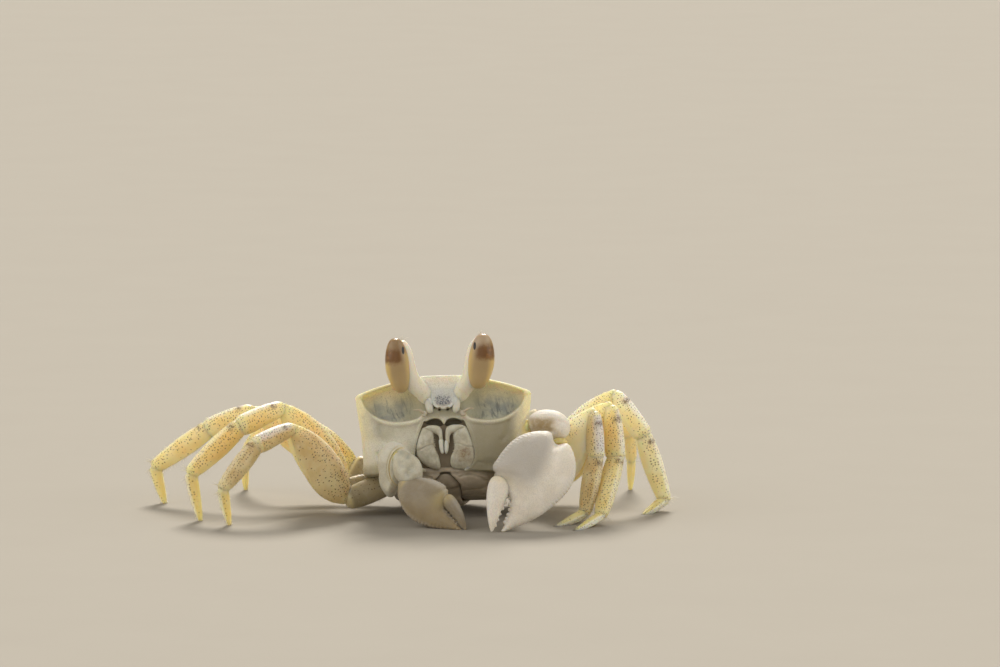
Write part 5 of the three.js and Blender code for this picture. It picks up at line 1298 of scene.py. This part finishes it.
for side, c in CLAW.items():
    outward = 1 if side == "L" else -1
    h = c["h"]
    # arm and wrist
    for part, facing, mat in (("arm", [outward, 0, 0.2], arm_mat), ("wrist", [0, 0, 1], hand_mat if side == "L" else arm_mat)):
        a, b = np.array(c[part][0], float), np.array(c[part][1], float)
        length = float(np.linalg.norm(b - a))
        hh, th = c[part + "_half"], c[part + "_thick"]
        fr = limb_frame(a, b - a, np.array(facing, float))
        up = profile([[0, 0.72 * hh], [0.45, hh], [1, 0.8 * hh]])
        down = profile([[0, -0.72 * hh], [0.5, -hh], [1, -0.85 * hh]])
        wide = profile([[0, 0.75 * th], [0.5, th], [1, 0.85 * th]])
        more = (4.6 if side == "R" else 2.2) if part == "arm" else 0.4
        axes = local_grid(fr, (-1.6, -th - 1.0 - more, -hh - 1.0 - more), (length + 1.6 + 0.6 * more, th + 1.0 + more, hh + 1.0 + more), h)
        A, B, C = open_grid(axes)
        F = flat_limb(A, B, C, length, up, down, wide, [-0.9, 0.9], 2.6, 2.1)
        if part == "wrist" and side == "L":
            # a broad shallow hollow facing forward, rounded crest behind it
            P = grid_world(fr, A, B, C)
            F = slab(WRIST_L, P, -18.4, 3.25, 1.9, 1.1, 0.12)
            F = F + 1.1 * np.exp(-((P[..., 0] - 19.7) / 2.5) ** 6 - ((P[..., 2] - 20.2) / 1.4) ** 6) * smoothstep(-19.4, -20.6, P[..., 1])
            F = F - 0.3 * np.exp(-((P[..., 0] - 24.0) / 1.8) ** 2 - ((P[..., 2] - 19.6) / 2.2) ** 2)
            F = F + 0.22 * np.exp(-((P[..., 2] - 21.75 + 0.05 * (P[..., 0] - 20) ** 2) / 0.28) ** 2) * smoothstep(-18.5, -20.0, P[..., 1])

            def masks(v, w):
                return {"tan": 1.0 * np.exp(-((w[:, 0] - 19.9) / 2.75) ** 6 - ((w[:, 2] - 20.25) / 1.5) ** 6) * smoothstep(-16.5, -18.5, w[:, 1]),
                        "ridge": smoothstep(21.3, 22.8, w[:, 2]),
                        "yellow": np.maximum(0.75 * smoothstep(1.6, 0.3, np.linalg.norm((w - np.array([16.9, -18.6, 20.2])) * [1.5, 0.5, 0.8], axis=1)),
                                             0.55 * np.exp(-((w[:, 0] - 23.2) / 1.6) ** 2 - ((w[:, 2] - 17.0) / 0.8) ** 2))}
        elif part == "wrist":
            P = grid_world(fr, A, B, C)
            dim = 0
            for (dx, dz, r) in ((-8.6, 15.0, 0.8), (-7.2, 14.2, 0.6), (-8.4, 12.8, 0.9), (-6.6, 12.0, 0.9), (-7.4, 10.8, 0.6)):
                dim = dim + np.exp(-((P[..., 0] - dx) / r) ** 2 - ((P[..., 2] - dz) / r) ** 2)
            F = F + 0.30 * dim * smoothstep(-20.4, -21.4, P[..., 1])

            def masks(v, w):
                m = 0
                for (dx, dz, r) in ((-8.6, 15.0, 0.8), (-7.2, 14.2, 0.6), (-8.4, 12.8, 0.9), (-6.6, 12.0, 0.9), (-7.4, 10.8, 0.6)):
                    m = m + np.exp(-((w[:, 0] - dx) / r) ** 2 - ((w[:, 2] - dz) / r) ** 2)
                return {"dimple": np.clip(m, 0, 1) * (w[:, 1] < -20), "ridge": smoothstep(15.0, 17.0, w[:, 2])}
        else:
            # the arm is bluntly three-edged, and broad at its far end
            ang = np.arctan2(C, B)
            F = F - 0.10 * np.cos(3 * ang + 0.5) * smoothstep(0.4, 2.0, np.hypot(B, C))
            P = grid_world(fr, A, B, C)
            if side == "R":                        # the far end hoods the wrist, ridged in rings about it
                hood = slab(HOOD_R, P, -18.7, 2.35, 1.7, 0.9, 0.1)
                e = ridge_rings(P[..., 0], P[..., 2])
                ahead = smoothstep(-18.6, -19.6, P[..., 1]) * smoothstep(8.0, 10.0, P[..., 2])
                hood = hood + ahead * (0.3 * np.exp(-((e - 1.075) / 0.035) ** 2) - 0.12 * np.exp(-((e - 1.15) / 0.04) ** 2)
                                       + 0.22 * np.exp(-((e - 1.24) / 0.035) ** 2) - 0.1 * np.exp(-((e - 0.99) / 0.04) ** 2))
                F = smin(F, hood, 0.7)
            else:
                F = smin(F, slab(END_L, P, -17.3, 2.0, 1.3, 0.9, 0.1), 0.7)

            def masks(v, w, side=side):
                if side == "L":
                    far = smoothstep(16.5, 19.0, w[:, 2])
                    return {"yellow": far * (0.30 + 0.65 * smoothstep(20.8, 19.6, w[:, 2]) * smoothstep(15.4, 16.4, w[:, 0])), "tan": 0.5 * smoothstep(18.5, 16.5, w[:, 2]) * smoothstep(14.0, 16.0, w[:, 2])}
                e = ridge_rings(w[:, 0], w[:, 2])
                ahead = smoothstep(-18.4, -19.2, w[:, 1])
                return {"yellow": ahead * np.clip(0.62 * np.exp(-((e - 1.075) / 0.05) ** 2) + 0.3 * np.exp(-((e - 1.24) / 0.05) ** 2), 0, 1),
                        "ridge": smoothstep(14.5, 16.8, w[:, 2])}
        claw_piece(f"claw_{side}_{part}_shell", fr, axes, F, mat, f"claw_{side}_{part}", masks)

    # hand
    origin = np.array(c["hand"], float)
    ax_ = unit(np.array(c["tip"], float) - origin)
    bx = np.array(c["across"], float); bx = unit(bx - ax_ * np.dot(bx, ax_))
    plane = (origin, np.stack([ax_, bx, np.cross(ax_, bx)], 1))
    up, low, thick = profile(c["upper"]), profile(c["lower"]), profile(c["thick"])
    s0, s1 = c["upper"][0][0], c["length"]
    axes = local_grid(plane, (s0 - 0.6, min(p[1] for p in c["upper"]) - 0.8, -max(p[1] for p in c["thick"]) - 0.8),
                      (s1 + 0.6, max(p[1] for p in c["lower"]) + 0.8, max(p[1] for p in c["thick"]) + 0.8), h)
    A, B, C = open_grid(axes)
    t = np.clip((A - s0) / (s1 - s0), 0, 1)
    e = np.maximum(round_end(t, 3.2), 0.02)
    hh, mid, th = (low(A) - up(A)) / 2 * e, (low(A) + up(A)) / 2, thick(A) * e
    q = (np.abs((B - mid) / hh) ** 2.15 + np.abs(C / th) ** 2.15) ** (1 / 2.15)
    F = np.maximum((q - 1) * np.minimum(hh, th), np.maximum(s0 - A, A - s1))
    n = c["notch"]
    if n:
        F = smax(F, -(np.sqrt(((A - n[0]) / n[2]) ** 2 + ((B - n[1]) / n[3]) ** 2) - 1) * 1.4, 1.7)
        # a soft valley runs on from the notch down the face
        F = F + 0.42 * np.exp(-((B - n[1] + 0.10 * A) / 0.75) ** 2) * smoothstep(5.0, 0.5, A) * smoothstep(0.6, 1.6, np.abs(C))
    for st in c["teeth"]:
        r = c["tooth"] * (1.1 if int(st * 10) % 3 == 0 else 0.8)
        F = smin(F, np.sqrt((A - st) ** 2 + (B - up(np.array(st)) - 0.02) ** 2 + (C / 1.3) ** 2) - r, 0.15)
    # low granular crests along both margins, a faint pinched line before the finger joint
    edge = np.exp(-((B - mid - hh) / 0.7) ** 2) + 0.7 * np.exp(-((B - mid + hh) / 0.7) ** 2)
    F = F - 0.07 * edge * (1 + 0.6 * np.sin(A * 2 * np.pi / 0.75))
    F = F + 0.12 * np.exp(-((A - c["finger"]["start"][0] + 1.5 + 0.25 * (B + 4)) / 0.45) ** 2) * smoothstep(-1.0, -3.0, B)

    def masks(v, w, c=c, side=side):
        s, b = v[:, 0], v[:, 1]
        m = (low(s) + up(s)) / 2; hh = (low(s) - up(s)) / 2
        # the palm's margins, lightened with painted highlight
        out = {"ridge": smoothstep(0.72, 1.0, np.abs((b - m) / hh))}
        f0 = np.array(c["finger"]["start"])
        out["yellow"] = 0.35 * np.exp(-(((s - f0[0] + 0.6) / 1.6) ** 2 + ((b - f0[1] - 0.4) / 2.4) ** 2))
        if c["notch"]:
            out["yellow"] = out["yellow"] + 0.75 * smoothstep(2.2, 1.3, np.hypot(s - c["notch"][0] + 0.3, b - c["notch"][1]))
            out["tan"] = 0.22 * np.exp(-((s - 17.5) / 2.0) ** 2 - ((b - 1.0) / 2.0) ** 2)
            # the upper facet of the larger palm, darkened with painted shade
            out["side"] = smoothstep(1.6, -1.8, b - 0.10 * s) * smoothstep(14.0, 9.0, s + 0.5 * b) * smoothstep(-1.5, 1.5, s)
        else:
            out["yellow"] = out["yellow"] + 0.5 * np.exp(-((s + 0.6) / 0.5) ** 2 - ((b + 0.6) / 1.6) ** 2)
            out["tan"] = 0.55 * smoothstep(7.0, 2.0, w[:, 2])
            out["spots"] = smoothstep(1.7, 0.9, np.abs(b + 3.0 + 0.1 * s)) * smoothstep(2.0, 3.2, s) * smoothstep(8.4, 7.0, s)
        return out
    skin_mat = hand_mat if side == "L" else small_hand_shaded_mat
    claw_piece(f"claw_{side}_palm", plane, axes, F, skin_mat, f"claw_{side}_hand", masks)

    # movable finger
    f = c["finger"]
    start, end = to_world(plane, np.array([f["start"] + [0.0], f["end"] + [0.0]], float))
    fr = limb_frame(start, end - start, -bx)
    length = float(np.linalg.norm(end - start))
    up_f, low_f, wide_f = profile(f["outer"]), profile(f["inner"]), profile(f["thick"])
    axes = local_grid(fr, (-1.2, -f["thick"][0][1] - 0.7, f["inner"][0][1] - 0.8), (length + 0.5, f["thick"][0][1] + 0.7, f["outer"][0][1] + 0.8), h * 0.85)
    A, B, C = open_grid(axes)
    bend = 0.25 * np.sin(np.pi * np.clip(A / length, 0, 1))
    F = flat_limb(A, B, C - bend, length, up_f, low_f, wide_f, [-0.7, 0], 4, 2.1)
    s = np.clip(A / length, 0, 1)
    for st in np.linspace(0.28, 0.86, 6):
        inner = float(low_f(np.array(st)))
        F = smin(F, np.sqrt((A - st * length) ** 2 + (C - inner - 0.18) ** 2 + (B / 1.3) ** 2) - c["tooth"] * (1.0 if int(st * 100) % 2 else 0.75), 0.15)
    for k_ in (-0.9, 0.9):                                                     # two fine furrows down each face
        F = F + 0.07 * np.exp(-((C - bend - (up_f(s) + low_f(s)) / 2 - k_ * 0.35 * up_f(s)) / 0.16) ** 2) * smoothstep(0.1, 0.3, s)
    claw_piece(f"claw_{side}_dactyl", fr, axes, F, skin_mat, f"claw_{side}_finger",
               lambda v, w: {"ridge": smoothstep(0.3, 1.0, v[:, 2] / 2.0), "yellow": 0.3 * smoothstep(1.6, 0.0, v[:, 0])})
    # soft skin in the wrist joints
    joint_at = [np.array([23.5, -20.0, 16.75]), np.array([17.0, -18.3, 19.9])]
    size = [(1.6, 1.2, 1.0), (0.6, 0.8, 1.3)]
    if side == "R":
        joint_at = [np.array([-6.4, -22.0, 8.3]), np.array([-9.7, -20.2, 13.4])]
        size = [(1.3, 0.9, 1.1), (0.8, 1.0, 1.5)]
    for i, (p, sz) in enumerate(zip(joint_at, size)):
        def fn(U, V, p=p, sz=sz):
            t = 0.5 - 0.5 * np.cos(np.pi * V); a = 2 * np.pi * U
            e = np.sqrt(np.maximum(0, 1 - (2 * t - 1) ** 2))
            fold = 1 + 0.05 * np.sin(14 * t)
            return p + np.stack([e * sz[0] * fold * np.cos(a), e * sz[1] * fold * np.sin(a), sz[2] * (2 * t - 1)], 1)
        v, qd, tr, _, _ = loft(32, 28, fn)
        keep(build_mesh(f"claw_{side}_skin_{i}", v, qd, tr), membrane_mat, "claw")
# ------------------------------------------------------------------ hairs (setae), as solid tapering threads
def threads(name, roots, directions, lengths, thick, bend=0.25, slot="leg", ground=True):
    roots, directions, lengths = np.asarray(roots, float), np.asarray(directions, float), np.asarray(lengths, float)
    n = len(roots)
    d = directions / np.linalg.norm(directions, axis=1)[:, None]
    ref = np.where(np.abs(d[:, [2]]) > 0.9, np.array([[1.0, 0, 0]]), np.array([[0, 0, 1.0]]))
    a1 = np.cross(d, ref); a1 /= np.linalg.norm(a1, axis=1)[:, None]
    a2 = np.cross(d, a1)
    w = rng.normal(size=(n, 2)) * bend
    side = a1 * w[:, :1] + a2 * w[:, 1:]
    rings = [-0.12, 0.35, 0.72]
    verts = []
    for s, r in zip(rings, (1.0, 0.8, 0.5)):
        c = roots + d * (lengths * s)[:, None] + side * (lengths * s * abs(s))[:, None]
        for k_ in range(3):
            a = 2 * np.pi * k_ / 3
            verts.append(c + (a1 * math.cos(a) + a2 * math.sin(a)) * (thick * r))
    verts.append(roots + d * lengths[:, None] + side * lengths[:, None])
    verts.append(roots - d * (0.14 * lengths)[:, None])
    V = np.stack(verts, 1).reshape(-1, 3)                      # 11 vertices a thread
    V[:, 2] = np.where(ground, np.maximum(V[:, 2], 0.01), V[:, 2])
    base = (np.arange(n) * 11)[:, None]
    quads, tris = [], []
    for r in range(2):
        for k_ in range(3):
            k2 = (k_ + 1) % 3
            quads.append(base + np.array([3 * r + k_, 3 * r + 3 + k_, 3 * r + 3 + k2, 3 * r + k2]))
    for k_ in range(3):
        k2 = (k_ + 1) % 3
        tris.append(base + np.array([6 + k_, 9, 6 + k2]))
        tris.append(base + np.array([10, k_, k2]))
    return keep(build_mesh(name, V, np.vstack(quads), np.vstack(tris)), seta_mat, slot)


for leg, layout in leg_layout.items():
    scale = LEG_HEIGHT[leg[1]]
    roots, dirs, lens = [], [], []

    def sow(name, fr, length, count, v_range, edge, spread, size, lean):
        V = rng.uniform(*v_range, count)
        U = edge + rng.normal(0, spread, count)
        p, n = leg_surface(name, fr, length, scale, U, V)
        along = fr[1][:, 0]
        d = n + along * (lean + rng.normal(0, 0.15, count))[:, None] + rng.normal(0, 0.12, (count, 3))
        keep_ = p[:, 2] > 0.25
        roots.append(p[keep_]); dirs.append(d[keep_]); lens.append(rng.uniform(*size, count)[keep_])

    for name, fr, length in layout:
        if name == "toe":
            sow(name, fr, length, 46, (0.22, 0.82), 0.25, 0.03, (0.35, 0.8), 1.0)
            sow(name, fr, length, 46, (0.22, 0.82), 0.75, 0.03, (0.35, 0.8), 1.0)
            sow(name, fr, length, 60, (0.2, 0.85), 0.0, 0.5, (0.2, 0.5), 1.1)
            sow(name, fr, length, 10, (0.16, 0.26), 0.25, 0.10, (0.9, 1.7), 0.5)
        if name == "shin":
            sow(name, fr, length, 60, (0.15, 0.92), 0.25, 0.025, (0.25, 0.6), 0.9)
            sow(name, fr, length, 70, (0.2, 0.9), 0.75, 0.03, (0.4, 0.9), 0.9)
            sow(name, fr, length, 12, (0.84, 0.92), 0.25, 0.12, (1.0, 2.0), 0.7)
            sow(name, fr, length, 60, (0.15, 0.9), 0.0, 0.5, (0.15, 0.35), 1.1)
        if name == "wrist":
            sow(name, fr, length, 34, (0.2, 0.9), 0.25, 0.03, (0.2, 0.45), 0.9)
            sow(name, fr, length, 26, (0.3, 0.9), 0.75, 0.04, (0.25, 0.55), 0.8)
        if name == "thigh":
            sow(name, fr, length, 80, (0.15, 0.92), 0.25, 0.02, (0.18, 0.4), 0.8)
            sow(name, fr, length, 60, (0.15, 0.9), 0.75, 0.03, (0.2, 0.5), 0.8)
        if name == "hip":
            sow(name, fr, length, 30, (0.25, 0.85), 0.75, 0.10, (0.4, 0.9), 0.5)
    threads(f"leg_{leg}_setae", np.vstack(roots), np.vstack(dirs), np.concatenate(lens), 0.026)

# a few fine hairs at the tip of each eye and along the mouth frame
for side, tip in (("R", (-8.95, -14.3, 37.1)), ("L", (7.55, -14.4, 38.1))):
    count = 7
    roots = np.array(tip) + rng.normal(0, 0.32, (count, 3)) * np.array([1, 0.6, 0.15])
    threads(f"eye_{side}_hairs", roots, np.array([[0.2 if side == "R" else -0.1, -0.1, 1.0]]) + rng.normal(0, 0.25, (count, 3)), rng.uniform(0.5, 1.2, count), 0.028, slot="eyestalk")
roots, dirs = [], []
for s in (-1, 1):
    line = smooth_open(FRAME_LINE, 10)[6:]
    pick = line[rng.integers(0, len(line), 90)]
    x = s * (pick[:, 0] - 0.05); z = pick[:, 1] + rng.normal(0, 0.1, 90)
    roots.append(np.stack([x, face_y(x, z) - 0.02, z], 1))
    dirs.append(np.stack([-s * rng.uniform(0.5, 1.2, 90), -rng.uniform(0.25, 0.6, 90), rng.normal(-0.2, 0.3, 90)], 1))
    zz = rng.uniform(-5.0, -0.6, 40); xx = s * np.interp(zz, [-5, -3.3, -1.3], [1.9, 2.15, 2.0])
    roots.append(np.stack([xx, face_y(xx, zz) - 0.1, zz], 1))
    dirs.append(np.stack([-s * np.ones(40), -0.3 * np.ones(40), rng.normal(-0.2, 0.3, 40)], 1))
roots, dirs = np.vstack(roots), np.vstack(dirs)
threads("mouth_hairs", to_world(BODY, roots), dirs @ BODY[1].T, rng.uniform(0.25, 0.6, len(roots)), 0.022, slot="belly", ground=False)
# fringe on the flank above the leg bases
roots, dirs = [], []
for s in (-1, 1):
    yy = rng.uniform(-9.5, 9.0, 420)
    xs = np.interp(yy, [-9, -6, 0, 5.5, 10], [16.2, 16.2, 15.6, 13.9, 11.0]) + 0.12
    zz = rng.uniform(-8.3, -6.2, 420)
    roots.append(np.stack([s * (xs + 0.06 * (zz + 8.3)), yy, zz], 1))
    dirs.append(np.stack([s * np.ones(420), rng.normal(0, 0.25, 420), rng.normal(-0.9, 0.2, 420)], 1))
roots, dirs = np.vstack(roots), np.vstack(dirs)
threads("flank_fringe", to_world(BODY, roots), dirs @ BODY[1].T, rng.uniform(0.4, 1.0, len(roots)), 0.026, slot="shell", ground=False)
# ------------------------------------------------------------------ stage and light
floor_mesh = bpy.data.meshes.new("floor")
S = 30.0
floor_mesh.from_pydata([(-S, -S, 0), (S, -S, 0), (S, S, 0), (-S, S, 0)], [], [(0, 1, 2, 3)])
floor = add_object("floor", floor_mesh)
k = Look("floor_look")
floor_mesh.materials.append(k.finish(k.mix(k.noise(40, 3), (0.345, 0.317, 0.272), (0.36, 0.331, 0.285)), 0.85, spec=0.2))

world = bpy.data.worlds.new("world")
bpy.context.scene.world = world
world.use_nodes = True
world.node_tree.nodes["Background"].inputs[0].default_value = (0.62, 0.592, 0.545, 1)
world.node_tree.nodes["Background"].inputs[1].default_value = 0.52


def aim(ob, position, target):
    ob.location = position
    ob.rotation_mode = "QUATERNION"
    ob.rotation_quaternion = (Vector(target) - Vector(position)).to_track_quat("-Z", "Y")


def sun(name, direction, power, angle, color):
    data = bpy.data.lights.new(name, "SUN")
    data.energy, data.color, data.angle = power, color, math.radians(angle)
    ob = bpy.data.objects.new(name, data)
    bpy.context.scene.collection.objects.link(ob)
    aim(ob, direction, (0, 0, 0))
    return ob


sun("back_light", (0.08, 1.0, 0.95), 3.7, 22, (1.0, 0.955, 0.875))
sun("left_light", (-1.0, -0.25, 0.5), 1.05, 60, (1.0, 0.975, 0.93))
sun("right_light", (1.0, -0.2, 0.5), 1.05, 60, (1.0, 0.97, 0.92))
sun("fill_light", (-0.3, -1.0, 0.75), 0.42, 70, (1.0, 0.98, 0.94))
bpy.context.scene.view_settings.view_transform = "Standard"
